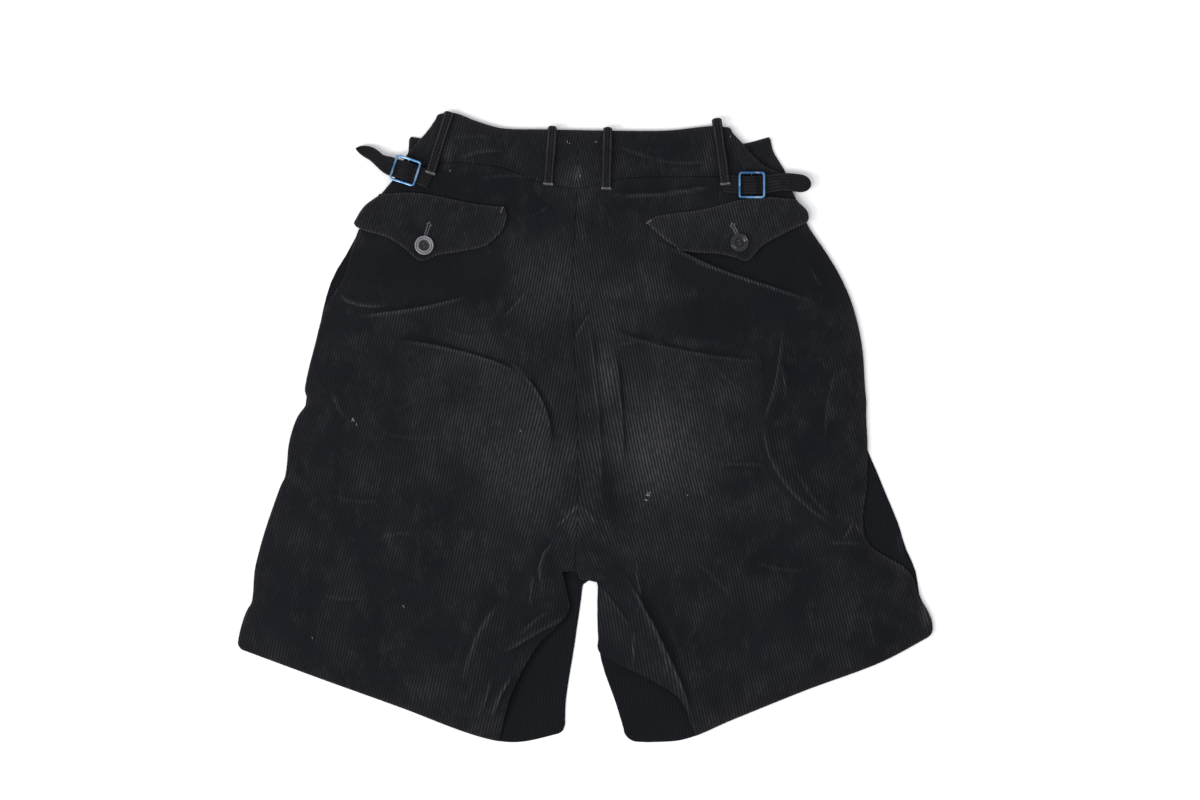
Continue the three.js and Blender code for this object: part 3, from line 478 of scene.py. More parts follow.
def button_rise(x, y, wider):
    """Rise of the front band over the waist button under it."""
    away = np.hypot(x - WAIST_BUTTON_X, y - WAIST_BUTTON_Y) - wider
    slope = WAIST_BUTTON_DOME - WAIST_BUTTON_FLAT
    return WAIST_BUTTON_RISE * smooth((WAIST_BUTTON_DOME - away) / slope)


def front_height(x, y):
    return button_rise(x, y, 0)


def inside_back(x, y):
    """Distance from a point to the nearest edge of the garment's back, about."""
    on_left = x < CROTCH_X
    hem = np.where(on_left, hem_left(x), hem_right(x))
    inner = np.where(on_left, front_inner_left(y) - x, x - front_inner_right(y))
    found = np.minimum(x - back_left_edge(y), back_right_edge(y) - x)
    found = np.minimum(found, np.minimum(waist_top(x) - y, y - hem))
    return np.where(y < CROTCH_Y, np.minimum(found, inner), found)


def seam_gap(seam, x, y):
    """Distance from some points to a straight seam."""
    dx, dy = seam["x2"] - seam["x1"], seam["y2"] - seam["y1"]
    t = np.clip(((x - seam["x1"]) * dx + (y - seam["y1"]) * dy) / (dx * dx + dy * dy), 0, 1)
    return np.hypot(x - seam["x1"] - t * dx, y - seam["y1"] - t * dy)


def fold_points(fold):
    """Points along a fold's crest, on a curve drawn towards its middle point."""
    t = np.linspace(0, 1, FOLD_SAMPLES + 1)
    a, b, c = (1 - t) ** 2, 2 * t * (1 - t), t * t
    xs = a * fold["x1"] + b * fold["xm"] + c * fold["x2"]
    ys = a * fold["y1"] + b * fold["ym"] + c * fold["y2"]
    return xs, ys


def fold_shape(fold, x, y):
    """One fold over some points: its height, the way to its steep side, its pale crest of painted sheen
    and wear, and the painted shade of its lee.
    """
    xs, ys = fold_points(fold)
    gap = np.full(x.shape, np.inf)
    share = np.zeros(x.shape)
    side = np.ones(x.shape)
    away_x, away_y = np.zeros(x.shape), np.zeros(x.shape)
    for i in range(FOLD_SAMPLES):
        dx, dy = xs[i + 1] - xs[i], ys[i + 1] - ys[i]
        t = np.clip(((x - xs[i]) * dx + (y - ys[i]) * dy) / (dx * dx + dy * dy), 0, 1)
        ox, oy = x - xs[i] - t * dx, y - ys[i] - t * dy
        d = np.hypot(ox, oy)
        near = d < gap
        gap = np.where(near, d, gap)
        share = np.where(near, (i + t) / FOLD_SAMPLES, share)
        side = np.where(near, np.where(dx * oy - dy * ox < 0, -1, 1), side)
        length = math.hypot(dx, dy)
        away_x = np.where(near, dy / length, away_x)
        away_y = np.where(near, -dx / length, away_y)
    on_soft = side == fold["soft"]
    broad = fold["width"] * np.where(on_soft, CREST_SOFT, CREST_STEEP)
    steep = max(SHARP_STEEP * fold["width"], SHARP_LEAST)
    narrow = np.where(on_soft, SHARP_SOFT * fold["width"], steep)
    ends = smooth(FOLD_RISE * share) * smooth(FOLD_RISE * (1 - share))
    sharp = CREST_SHARP if fold["wear"] else 0
    shape = mix(np.exp(-((gap / broad) ** 2)), np.exp(-((gap / narrow) ** 2)), sharp)
    # The crest's pale line: painted highlight of the sheen on the fold, and wear
    line = (SHEEN_WEAR_GROWTH * fold["width"] + SHEEN_WEAR_LINE) * np.where(on_soft, SHEEN_WEAR_SOFT, SHEEN_WEAR_STEEP)
    crest = ends * np.exp(-((gap / line) ** 2))
    # Painted shade on the steep side beside the crest, where a real fold is in shadow
    shadow = smooth(gap / LEE_START) * np.exp(-((gap / (LEE_REACH * fold["width"])) ** 2))
    lee = ends * np.where(on_soft, 0, shadow) * sharp
    rise = fold["height"] * (FOLD_END + (1 - FOLD_END) * ends) * shape
    return rise, away_x * fold["soft"], away_y * fold["soft"], crest, lee


def back_surface(x, y):
    """The underside of the garment's back: height, lean, the folds' pale crests of painted sheen and wear,
    and the painted shade of their lees.
    """
    x, y = np.asarray(x, float), np.asarray(y, float)
    inside = inside_back(x, y)
    off = np.maximum(BULGE * smooth(inside / BULGE_REACH), button_rise(x, y, STEP_ROOM))
    step = smooth((y - front_waist_low(x) + 2 * STEP_ROOM) / STEP_ROOM)
    height = mix(CLOTH, BAND, step) + LAYER + off
    swell = SWELL * (SWELL_BASE + ripple(x, y, SWELL_SIZE, SWELL_SEED))
    height = height + swell * smooth(inside / SWELL_REACH)
    faint = sum(high * ripple(x, y, size, seed) for high, size, seed in WRINKLES)
    height = height + faint * smooth(inside / WRINKLE_REACH)
    keep = smooth((inside + FOLD_PAST) / FOLD_REACH)
    leaning = smooth(inside / FOLD_REACH)
    lean_x, lean_y, worn, dark = (np.zeros(x.shape) for _ in range(4))
    for fold in FOLDS + CREASES:
        rise, steep_x, steep_y, crest, lee = fold_shape(fold, x, y)
        height = height + rise * keep
        lean_x += CREST_LEAN * rise * steep_x * leaning
        lean_y += CREST_LEAN * rise * steep_y * leaning
        # Pale crests are painted sheen and wear; the dark beside them is painted shade
        worn = np.maximum(worn, CREST_SHEEN_AND_WEAR * crest * fold["wear"])
        dark = np.maximum(dark, lee * min(1, fold["height"] / LEE_HEIGHT))
    for dart in DARTS:
        height = height - DART_DEPTH * np.exp(-((seam_gap(dart, x, y) / DART_WIDTH) ** 2)) * keep
    return height, lean_x, lean_y, worn, dark


def panel_top(x, y):
    return back_surface(x, y)[0] + CLOTH


def back_top(x, y):
    """The top of whichever piece of the back lies under some points."""
    return back_surface(x, y)[0] + np.where(y > waist_low(x) - BAND_NEAR, BAND, CLOTH)


def patch_wear_and_shade(x, y):
    """How pale the cloth has worn by sitting and handling, below 0 where painted shade darkens it under
    flaps and straps and beside folds.
    """
    pale, painted_shade = np.zeros(np.shape(x)), np.zeros(np.shape(x))
    for patch in WEAR_AND_SHADE_PATCHES:
        spread = ((x - patch["x"]) / patch["wide"]) ** 2 + ((y - patch["y"]) / patch["long"]) ** 2
        pale = np.maximum(pale, patch["wear"] * np.exp(-spread))
        # Below 0 a patch is painted shade
        painted_shade = np.minimum(painted_shade, patch["wear"] * np.exp(-spread))
    return pale + painted_shade


# Wales: lines on the cloth that lean towards the centre back, a little closer at the waist

def wale_line(w, y, lean):
    """Where a wale crosses a height, on a piece of the left side; the right side is its mirror."""
    drift = sum(far * np.sin(y / along + w / across) for far, along, across in WALE_DRIFTS)
    seat = WALE_PULL * smooth((y - PULL_LOW) / (PULL_FULL - PULL_LOW))
    seat = seat * smooth((PULL_HIGH - y) / (PULL_HIGH - PULL_FULL))
    pull = seat * np.exp(-np.abs(w - PULL_MIDDLE) / PULL_WIDTH)
    return w * (1 - WALE_CLOSING * y) + lean * (WALE_LEAN * y + pull) + drift


class Grid:
    """Points over a piece, in rows from its lower to its upper edge and in columns along its wales.

    Lean is how far the wales lean, and corners are the radii of the lower outer, lower inner, upper outer
    and upper inner corners. Seams names the edges that are sewn to a neighbour, and dense the shares of
    the height that need more rows.
    """

    def __init__(self, cloth, side, low, top, outer, inner, rows, lean=1.0, corners=(0, 0, 0, 0),
                 seams=(), dense=()):
        self.cloth = cloth
        self.pitch = pitch = cloth.wale_pitch / MM
        self.mirror = turn = -1 if side == "right" else 1
        edges = [lambda x: low(turn * x), lambda x: top(turn * x)]
        outer_m, inner_m = (lambda y: turn * outer(y)), (lambda y: turn * inner(y))
        fine = np.linspace(*ACROSS, ACROSS_SAMPLES)

        def reach(row_y):
            past_outer = np.nonzero(fine >= outer_m(row_y))[0]
            within = np.nonzero(fine <= inner_m(row_y))[0]
            return fine[past_outer[0]], fine[within[-1]]

        def rounded(k):
            way = (1, -1)[k]
            r_outer, r_inner = corners[2 * k:2 * k + 2]
            # A round corner ends where the side is, one radius in from the corner
            x_outer = reach(edges[k](fine) + way * r_outer)[0]
            x_inner = reach(edges[k](fine) + way * r_inner)[1]

            def edge(x):
                found = edges[k](x)
                for r, gap in ((r_outer, x - x_outer), (r_inner, x_inner - x)):
                    if r:
                        short = r - np.clip(gap, 0, r)
                        found = found + way * (r - np.sqrt(r * r - short * short))
                return found
            return edge

        low_m, top_m = rounded(0), rounded(1)
        w = np.arange(*WALES, pitch / COLUMNS)
        self.x, self.y, self.u, self.index = [], [], [], []
        self.left, self.right = [], []
        count = 0
        for v in self.shares(rows, dense):
            row_y = mix(low_m(fine), top_m(fine), v)
            first, last = reach(row_y)
            xs = wale_line(w, mix(low_m(w), top_m(w), v), lean)
            for _ in range(4):
                xs = wale_line(w, mix(low_m(xs), top_m(xs), v), lean)
            past = xs >= last - WALE_MARGIN
            chosen = np.nonzero((xs > first + WALE_MARGIN) & ~past)[0]
            row_x = np.concatenate([[first], xs[chosen], [last]])
            self.x.append(row_x)
            self.y.append(mix(low_m(row_x), top_m(row_x), v))
            self.u.append(np.interp(row_x, xs, w) / pitch)
            index = np.full(len(w), count)
            index[chosen] = count + 1 + np.arange(len(chosen))
            end = count + 1 + len(chosen)
            index[past] = end
            self.index.append(index)
            self.left.append(count)
            self.right.append(end)
            count = end + 1
        self.count = count
        gaps = self.edge_distances(low_m, top_m)
        self.x, self.y, self.u = (np.concatenate(part) for part in (self.x, self.y, self.u))
        nowhere = np.full(count, FAR)
        self.edge = np.minimum.reduce([gaps[name] for name in gaps if name not in seams] or [nowhere])
        self.seam = np.minimum.reduce([gaps[name] for name in seams] or [nowhere])
        self.x = self.x * turn
        self.outline = self.make_outline()

    @staticmethod
    def shares(rows, dense):
        """Shares of the way up: closer at both ends, where edges are round, and where asked."""
        fine = np.linspace(0, 1, 2000)
        weight = 1 + END_GAIN * np.exp(-fine * rows / END_ROWS)
        weight = weight + END_GAIN * np.exp(-(1 - fine) * rows / END_ROWS)
        for low, high, gain in dense:
            ramp = min(DENSE_RAMP, (high - low) / 3)
            weight = weight + gain * smooth((fine - low) / ramp) * smooth((high - fine) / ramp)
        grown = np.concatenate([[0], np.cumsum((weight[1:] + weight[:-1]) / 2)])
        return np.interp(np.linspace(0, grown[-1], rows + 1), grown, fine)

    def edge_distances(self, low, top):
        """Distance of each point from each of the piece's four edges."""
        lefts = np.array([row[0] for row in self.x])
        rights = np.array([row[-1] for row in self.x])
        lean_left = np.gradient(lefts) / np.maximum(np.gradient([row[0] for row in self.y]), 1e-3)
        lean_right = np.gradient(rights) / np.maximum(np.gradient([row[-1] for row in self.y]), 1e-3)
        found = {"outer": [], "inner": [], "low": [], "top": []}
        for i, (xs, ys) in enumerate(zip(self.x, self.y)):
            slope_low = (low(xs + 1) - low(xs - 1)) / 2
            slope_top = (top(xs + 1) - top(xs - 1)) / 2
            found["outer"].append((xs - lefts[i]) / math.hypot(1, lean_left[i]))
            found["inner"].append((rights[i] - xs) / math.hypot(1, lean_right[i]))
            found["low"].append((ys - low(xs)) / np.hypot(1, slope_low))
            found["top"].append((top(xs) - ys) / np.hypot(1, slope_top))
        return {name: np.maximum(np.concatenate(parts), 0) for name, parts in found.items()}

    def make_outline(self):
        """Indices of the points round the piece, in order."""
        bottom = np.arange(self.left[0], self.right[0] + 1)
        top = np.arange(self.left[-1], self.right[-1] + 1)
        ring = np.concatenate([bottom, self.right[1:-1], top[::-1], self.left[1:-1][::-1]])
        return ring if self.mirror > 0 else ring[::-1]

    def faces(self):
        """The faces between neighbouring rows and columns; past a side, columns share its point."""
        strips = [np.stack([low[:-1], low[1:], high[1:], high[:-1]], 1)
                  for low, high in zip(self.index[:-1], self.index[1:])]
        quads = np.concatenate(strips)
        return quads if self.mirror > 0 else quads[:, ::-1]

    def coarse(self, spacing):
        """Triangles over the piece between its outline and a loose pattern of its inner points."""
        ring = self.outline
        far = np.minimum(self.edge, self.seam) > spacing * 0.6
        cells = np.floor(np.stack([self.x, self.y], 1) / spacing)
        _, first = np.unique(cells[far], axis=0, return_index=True)
        chosen = np.concatenate([ring, np.nonzero(far)[0][first]])
        spots = [Vector((self.x[i], self.y[i])) for i in chosen]
        loop = list(range(len(ring)))
        sides = list(zip(loop, loop[1:] + loop[:1]))
        _, _, faces, origin, _, _ = delaunay_2d_cdt(spots, sides, [loop], 1, 1e-7)
        kept = [[origin[k][0] for k in face] for face in faces if all(origin[k] for k in face)]
        return chosen, np.array(kept)


def faces_of(quads):
    """Faces with repeated corners taken out: a list of corner arrays with three or four corners."""
    same = quads == np.roll(quads, -1, axis=1)
    count = same.sum(1)
    full = quads[count == 0]
    thin = quads[count == 1]
    drop = same[count == 1]
    triangles = thin[~drop].reshape(-1, 3)
    triangles = triangles[(triangles[:, 0] != triangles[:, 2])]
    full = full[(full[:, 0] != full[:, 2]) & (full[:, 1] != full[:, 3])]
    return full, triangles


def make_object(name, points, quads, triangles, look, uv=None, wear=None, rust=None):
    """A mesh object from points in millimetres, with its wale coordinates and wear on it."""
    mesh = bpy.data.meshes.new(name)
    corners = np.concatenate([quads.ravel(), triangles.ravel()]).astype(np.int32)
    sizes = np.concatenate([np.full(len(quads), 4), np.full(len(triangles), 3)]).astype(np.int32)
    starts = np.concatenate([[0], np.cumsum(sizes)[:-1]]).astype(np.int32)
    mesh.vertices.add(len(points))
    mesh.vertices.foreach_set("co", (np.asarray(points, float) * MM).ravel())
    mesh.loops.add(len(corners))
    mesh.loops.foreach_set("vertex_index", corners)
    mesh.polygons.add(len(sizes))
    mesh.polygons.foreach_set("loop_start", starts)
    mesh.update(calc_edges=True)
    if uv is not None:
        layer = mesh.uv_layers.new(name="wale")
        layer.data.foreach_set("uv", np.asarray(uv, float)[corners].ravel())
    for label, values in (("wear", wear), ("rust", rust)):
        if values is not None:
            layer = mesh.attributes.new(label, "FLOAT", "POINT")
            layer.data.foreach_set("value", np.asarray(values, float))
    mesh.polygons.foreach_set("use_smooth", np.full(len(sizes), True))
    mesh.materials.append(look)
    mesh.validate()
    made = bpy.data.objects.new(name, mesh)
    bpy.context.scene.collection.objects.link(made)
    return made


def finish_piece(made, nodes):
    """Parents a piece to the root it rides on, and hides the nodes of the frame it stands for."""
    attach(made, "root")
    if nodes:
        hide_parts(*nodes)
    return made


def wale_depth(cloth, u):
    """How far the cloth lies below the top of its wales: u counts the wales across it."""
    return cloth.wale_height / MM * (1 - np.sqrt(np.abs(np.sin(math.pi * u))))


def cloth_piece(name, grid, surface, thick, wear_gain=1.0, edge_wear=0.4, rust_gain=0.3, shade=0,
                both_faces=False):
    """A closed wall of corduroy over a grid, with raised wales on its face and turned edges.

    The shade darkens the whole piece, and below 0 makes it paler.
    """
    x, y, u, edge = grid.x, grid.y, grid.u, grid.edge
    under, lean_x, lean_y, worn, dark = surface(x, y)
    rounding = roundness(edge, EDGE_ROUND, EDGE_LEAST)
    groove = SEAM_GROOVE * np.exp(-((grid.seam / SEAM_REACH) ** 2))
    dip = wale_depth(grid.cloth, u) * rounding
    middle = under + thick / 2
    top = middle + thick / 2 * rounding - dip - groove
    bottom = middle - thick / 2 * rounding + (dip if both_faces else 0)
    xs, ys = x + lean_x, y + lean_y
    # Wear of the patches, and below 0 their painted shade, which pale crests clear away
    rubbed = patch_wear_and_shade(x, y)
    patch_shade = np.minimum(rubbed, 0) * (1 - smooth(worn / PALE_CREST_CLEARS_SHADE))
    wear = np.maximum(worn, rubbed * (1 - dark)) + patch_shade
    # The painted shade of the folds' lees takes the patches' wear away and darkens the pile
    wear = wear_gain * (wear - LEE_SHADE * dark)
    wear = wear + edge_wear * np.exp(-edge / EDGE_WEAR_REACH) - shade
    rust = rust_gain * np.exp(-edge / EDGE_RUST_REACH)
    quads, triangles = faces_of(grid.faces())
    ring = grid.outline
    n = grid.count
    if both_faces:
        chosen = np.arange(n)
        under_quads, under_triangles = quads[:, ::-1] + n, triangles[:, ::-1] + n
        rim_ids = ring + n
    else:
        chosen, loose = grid.coarse(UNDER_SPACING)
        under_quads, under_triangles = np.zeros((0, 4), int), loose[:, ::-1] + n
        rim_ids = np.arange(len(ring)) + n
    rim = np.stack([rim_ids, np.roll(rim_ids, -1), np.roll(ring, -1), ring], 1)
    points = np.concatenate([np.stack([xs, ys, top], 1), np.stack([xs, ys, bottom], 1)[chosen]])
    quads = np.concatenate([quads, under_quads, rim])
    triangles = np.concatenate([triangles, under_triangles])
    uv = np.stack([u, y / grid.pitch], 1)
    uv, wear, rust = (np.concatenate([values, values[chosen]]) for values in (uv, wear, rust))
    return make_object(name, points, quads, triangles, material("corduroy"), uv, wear, rust)


# Materials

RGBA = {"data_type": "RGBA"}
PRODUCT, TOTAL = {"operation": "MULTIPLY"}, {"operation": "ADD"}
CLAMPED = {"operation": "MULTIPLY", "use_clamp": True}


def linear(code):
    """An sRGB hex colour as linear red, green, blue and alpha."""
    parts = [int(code[i:i + 2], 16) / 255 for i in (1, 3, 5)]
    return [c / 12.92 if c <= 0.04045 else ((c + 0.055) / 1.055) ** 2.4 for c in parts] + [1.0]


def node(tree, kind, settings, inputs, output=0):
    """Adds a node with its settings and its inputs' values or links, and gives one of its outputs."""
    made = tree.nodes.new("ShaderNode" + kind)
    for name, value in settings.items():
        setattr(made, name, value)
    for name, value in inputs.items():
        if isinstance(value, bpy.types.NodeSocket):
            tree.links.new(value, made.inputs[name])
        else:
            made.inputs[name].default_value = value
    return made.outputs[output] if made.outputs else None


def new_material(name):
    """An empty node material, its tree and the object's own coordinates."""
    made = bpy.data.materials.new(name)
    made.use_nodes = True
    made.node_tree.nodes.clear()
    return made, made.node_tree, node(made.node_tree, "TexCoord", {}, {}, "Object")


def corduroy_material():
    """Cotton corduroy, cut pile in black dye: dull dark valleys, partly painted shade of their grooves,
    brushed wales that wear grey on top.
    """
    cloth = bpy.context.scene.shorts_cloth
    made, tree, place = new_material("cotton corduroy, cut pile")
    wear = node(tree, "Attribute", {"attribute_name": "wear"}, {}, "Fac")
    rust = node(tree, "Attribute", {"attribute_name": "rust"}, {}, "Fac")
    # One wale is one unit across the wale coordinates: its pile stands in an arch
    uv = node(tree, "UVMap", {"uv_map": "wale"}, {})
    across = node(tree, "SeparateXYZ", {}, {0: uv})
    turned = node(tree, "Math", PRODUCT, {0: across, 1: math.pi})
    wave = node(tree, "Math", {"operation": "SINE"}, {0: turned})
    arch = node(tree, "Math", {"operation": "ABSOLUTE"}, {0: wave})
    # Tufts lean and wear unevenly along a wale: streaks one wale wide and some millimetres long
    along = node(tree, "Mapping", {}, {"Vector": uv, "Scale": (1.0, 0.38, 1.0)})
    streak = node(tree, "TexNoise", {}, {"Vector": along, "Scale": 1.15, "Detail": 3.0, "Roughness": 0.7})
    nap = node(tree, "TexNoise", {}, {"Vector": uv, "Scale": 5.5, "Detail": 2.0, "Roughness": 0.6})
    # Brushed and flattened places, about 40 and 65 mm across, and scuffs of about 12 mm
    cloud = node(tree, "TexNoise", {}, {"Vector": place, "Scale": 24.0, "Detail": 3.0, "Roughness": 0.55})
    moved = node(tree, "Mapping", {}, {"Vector": place, "Location": (3.1, 1.7, 0)})
    brushed = node(tree, "TexNoise", {}, {"Vector": moved, "Scale": 15.0, "Detail": 4.0, "Roughness": 0.6})
    wide = node(tree, "Mapping", {}, {"Vector": place, "Scale": (1.0, 0.6, 1.0)})
    scuff = node(tree, "TexNoise", {}, {"Vector": wide, "Scale": 95.0, "Detail": 5.0, "Roughness": 0.65})
    lean = node(tree, "MapRange", {}, {0: brushed, 1: 0.34, 2: 0.64, 3: 0.5, 4: 1.0})
    ridge = node(tree, "Math", PRODUCT, {0: arch, 1: lean})
    # How far the pile has gone from its dye to grey, most on top of the wales; the wear it reads also
    # holds the folds' painted crest sheen
    scuffed = node(tree, "MapRange", {}, {0: scuff, 1: 0.5, 2: 0.85, 3: 0.0, 4: 0.2})
    hazy = node(tree, "MapRange", {}, {0: cloud, 1: 0.3, 2: 0.75, 3: -0.04, 4: 0.1})
    marks = node(tree, "Math", TOTAL, {0: scuffed, 1: hazy})
    pale = node(tree, "Math", TOTAL, {0: wear, 1: marks})
    patchy = node(tree, "MapRange", {}, {0: streak, 1: 0.3, 2: 0.72, 3: 0.45, 4: 1.6})
    uneven = node(tree, "Math", PRODUCT, {0: pale, 1: patchy})
    crown = node(tree, "Math", {"operation": "POWER"}, {0: arch, 1: 2.6})
    top = node(tree, "Math", {"operation": "MULTIPLY_ADD"}, {0: crown, 1: 0.88, 2: 0.12})
    share = node(tree, "Math", CLAMPED, {0: uneven, 1: top})
    # Below 0 the wear draws the colour to the valley's: painted shade of the folds' lees and under the
    # flaps and straps, darker whole pieces, and the ribbons' kept dye
    painted_shade_and_dye = node(tree, "Math", CLAMPED, {0: wear, 1: -0.7})
    blue = node(tree, "MapRange", {}, {0: cloud, 1: 0.25, 2: 0.75, 3: 0.5, 4: 0.1})
    brown = node(tree, "MapRange", {}, {0: streak, 1: 0.35, 2: 0.7, 3: 0.1, 4: 0.8})
    rusty = node(tree, "Math", PRODUCT, {0: rust, 1: brown})
    # The valley colour is the ground between the wales, with the painted shade of their grooves
    valley = linear(cloth.valley_colour)
    pile = node(tree, "Mix", RGBA, {0: ridge, 6: valley, 7: linear(cloth.pile_colour)}, 2)
    tinted = node(tree, "Mix", RGBA, {0: blue, 6: pile, 7: linear(cloth.shade_colour)}, 2)
    faded = node(tree, "Mix", RGBA, {0: rusty, 6: tinted, 7: linear(cloth.rust_colour)}, 2)
    worn = node(tree, "Mix", RGBA, {0: share, 6: faded, 7: linear(cloth.worn_colour)}, 2)
    colour = node(tree, "Mix", RGBA, {0: painted_shade_and_dye, 6: worn, 7: valley}, 2)
    rough = node(tree, "MapRange", {}, {0: nap, 1: 0.0, 2: 1.0, 3: 0.8, 4: 0.95})
    height = node(tree, "Math", TOTAL, {0: nap, 1: streak})
    bump = node(tree, "Bump", {}, {"Strength": 0.6, "Distance": 0.2 * MM, "Height": height})
    shader = node(tree, "BsdfPrincipled", {}, {
        "Base Color": colour, "Roughness": rough, "Normal": bump, "Specular IOR Level": 0.06,
        "Sheen Weight": 0.05, "Sheen Roughness": 0.4, "Sheen Tint": linear("#8c95a6"),
    })
    node(tree, "OutputMaterial", {}, {"Surface": shader})
    return made


def thread_material(name, code):
    """Spun cotton sewing thread: matt, twisted, a little grubby."""
    made, tree, place = new_material(name)
    twist = node(tree, "TexNoise", {}, {"Vector": place, "Scale": 900.0, "Detail": 2.0})
    grime = node(tree, "Math", PRODUCT, {0: twist, 1: 0.7})
    colour = node(tree, "Mix", RGBA, {0: grime, 6: linear(code), 7: linear("#3c3d42")}, 2)
    bump = node(tree, "Bump", {}, {"Strength": 0.5, "Distance": 0.1 * MM, "Height": twist})
    shader = node(tree, "BsdfPrincipled", {}, {
        "Base Color": colour, "Roughness": 0.85, "Normal": bump, "Sheen Weight": 0.2,
    })
    node(tree, "OutputMaterial", {}, {"Surface": shader})
    return made


def steel_material():
    """Blued steel, pressed and polished: a thin blue oxide film, rubbed bright in places."""
    made, tree, place = new_material("blued steel")
    film = node(tree, "TexNoise", {}, {"Vector": place, "Scale": 90.0, "Detail": 2.0})
    patch = node(tree, "TexNoise", {}, {"Vector": place, "Scale": 130.0, "Detail": 1.0})
    # Polishing scratches along the frame, drawn some 0.4 mm apart so that they show
    stretched = node(tree, "Mapping", {}, {"Vector": place, "Scale": (1.0, 0.12, 1.0)})
    scratch = node(tree, "TexNoise", {}, {"Vector": stretched, "Scale": 2600.0, "Detail": 3.0})
    thick = node(tree, "MapRange", {}, {0: film, 1: 0.35, 2: 0.65, 3: 0.0, 4: 1.0})
    rubbed = node(tree, "MapRange", {}, {0: patch, 1: 0.56, 2: 0.72, 3: 0.0, 4: 0.45})
    oxide = node(tree, "Mix", RGBA, {0: thick, 6: linear("#40719f"), 7: linear("#76a5d2")}, 2)
    colour = node(tree, "Mix", RGBA, {0: rubbed, 6: oxide, 7: linear("#c3d9ee")}, 2)
    rough = node(tree, "MapRange", {}, {0: scratch, 1: 0.0, 2: 1.0, 3: 0.12, 4: 0.3})
    bump = node(tree, "Bump", {}, {"Strength": 0.1, "Distance": 0.02 * MM, "Height": scratch})
    shader = node(tree, "BsdfPrincipled", {}, {
        "Base Color": colour, "Roughness": rough, "Normal": bump, "Metallic": 1.0,
    })
    node(tree, "OutputMaterial", {}, {"Surface": shader})
    return made


def button_material(name, rim, groove, rough_at):
    """Cast urea resin, turned and tumbled: worn ridges with a painted highlight, grooves and dish with
    dark grime and painted shade.
    """
    made, tree, place = new_material(name)
    wear = node(tree, "Attribute", {"attribute_name": "wear"}, {}, "Fac")
    swirl = node(tree, "TexNoise", {}, {"Vector": place, "Scale": 300.0, "Detail": 3.0, "Distortion": 1.2})
    marbled = node(tree, "MapRange", {}, {0: swirl, 1: 0.3, 2: 0.7, 3: 0.7, 4: 1.1})
    share = node(tree, "Math", CLAMPED, {0: wear, 1: marbled})
    # Colour from the groove's, grime and painted shade, to the rim's, wear and painted highlight
    colour = node(tree, "Mix", RGBA, {0: share, 6: linear(groove), 7: linear(rim)}, 2)
    rub = node(tree, "TexNoise", {}, {"Vector": place, "Scale": 500.0, "Detail": 2.0})
    rough = node(tree, "MapRange", {}, {0: rub, 1: 0.0, 2: 1.0, 3: rough_at, 4: rough_at + 0.15})
    shader = node(tree, "BsdfPrincipled", {}, {
        "Base Color": colour, "Roughness": rough, "IOR": 1.5, "Specular IOR Level": 0.35,
    })
    node(tree, "OutputMaterial", {}, {"Surface": shader})
    return made


def floor_material():
    """Matt seamless paper: white, with the faintest tooth."""
    made, tree, place = new_material("seamless paper")
    tooth = node(tree, "TexNoise", {}, {"Vector": place, "Scale": 800.0, "Detail": 2.0})
    share = node(tree, "Math", PRODUCT, {0: tooth, 1: 0.1})
    colour = node(tree, "Mix", RGBA, {0: share, 6: linear("#fbfbfb"), 7: linear("#f0f0f0")}, 2)
    shader = node(tree, "BsdfPrincipled", {}, {
        "Base Color": colour, "Roughness": 0.95, "Specular IOR Level": 0.1,
    })
    node(tree, "OutputMaterial", {}, {"Surface": shader})
    return made


MATERIALS = {
    "corduroy": corduroy_material,
    "tack": lambda: thread_material("cotton thread, pale", "#8f8b8a"),
    "buttonhole": lambda: thread_material("cotton buttonhole twist, grey", "#8c8b90"),
    "stitch": lambda: thread_material("cotton thread, dark", "#26272b"),
    "lint": lambda: thread_material("cotton lint", "#e8e6e2"),
    "steel": steel_material,
    # A button's rim colour is wear with a painted highlight, its groove colour grime with painted shade
    "pale button": lambda: button_material("urea resin, pearl grey", "#858087", "#100f12", 0.25),
    "dark button": lambda: button_material("urea resin, near black", "#26272b", "#060607", 0.12),
    "floor": floor_material,
}
made_materials = {}


def material(name):
    if name not in made_materials:
        made_materials[name] = MATERIALS[name]()
    return made_materials[name]


# Pieces

HEM_CORNER = 5
HEM_CORNER_INNER = {"left": 7, "right": 12}
# Bands of a panel with closer rows: from and to, as shares of its height, and how much closer
BACK_DENSE = ((0.58, 0.9, 0.7), (0.12, 0.58, 0.45), (0.278, 0.31, 2))
FRONT_DENSE = ((0.24, 0.35, 2), (0.28, 0.302, 22))


def back_side_edges(side):
    """The outer and the inner edge of a back panel, as functions of height."""
    outer = back_left_edge if side == "left" else back_right_edge
    leg = back_inner_left if side == "left" else back_inner_right
    gap = -SEAM_SHOW / 2 if side == "left" else SEAM_SHOW / 2
    return outer, lambda y: np.where(y < CROTCH_BACK_Y, leg(y), centre_back(y) + gap)


def build_back(side):
    cloth = bpy.context.scene.shorts_cloth
    outer, inner = back_side_edges(side)
    hem = hem_left if side == "left" else hem_right
    grid = Grid(cloth, side, hem, lambda x: waist_low(x) - SEAM_SHOW, outer, inner, rows=cloth.panel_rows,
                corners=(HEM_CORNER, 0, 0, 0), seams=("top", "inner"), dense=BACK_DENSE)
    made = cloth_piece(f"back_{side}_cloth", grid, back_surface, CLOTH, edge_wear=0.2)
    return finish_piece(made, [f"back_{side}"])


def level(value):
    """A straight edge, as a function that gives the same value everywhere."""
    return lambda at: np.full(np.shape(at), float(value))


def plain(height):
    """A surface that only has a height, for pieces that carry no folds of their own."""
    def surface(x, y):
        z = height(x, y)
        none = np.zeros(np.shape(x))
        return z, none, none, none, none
    return surface


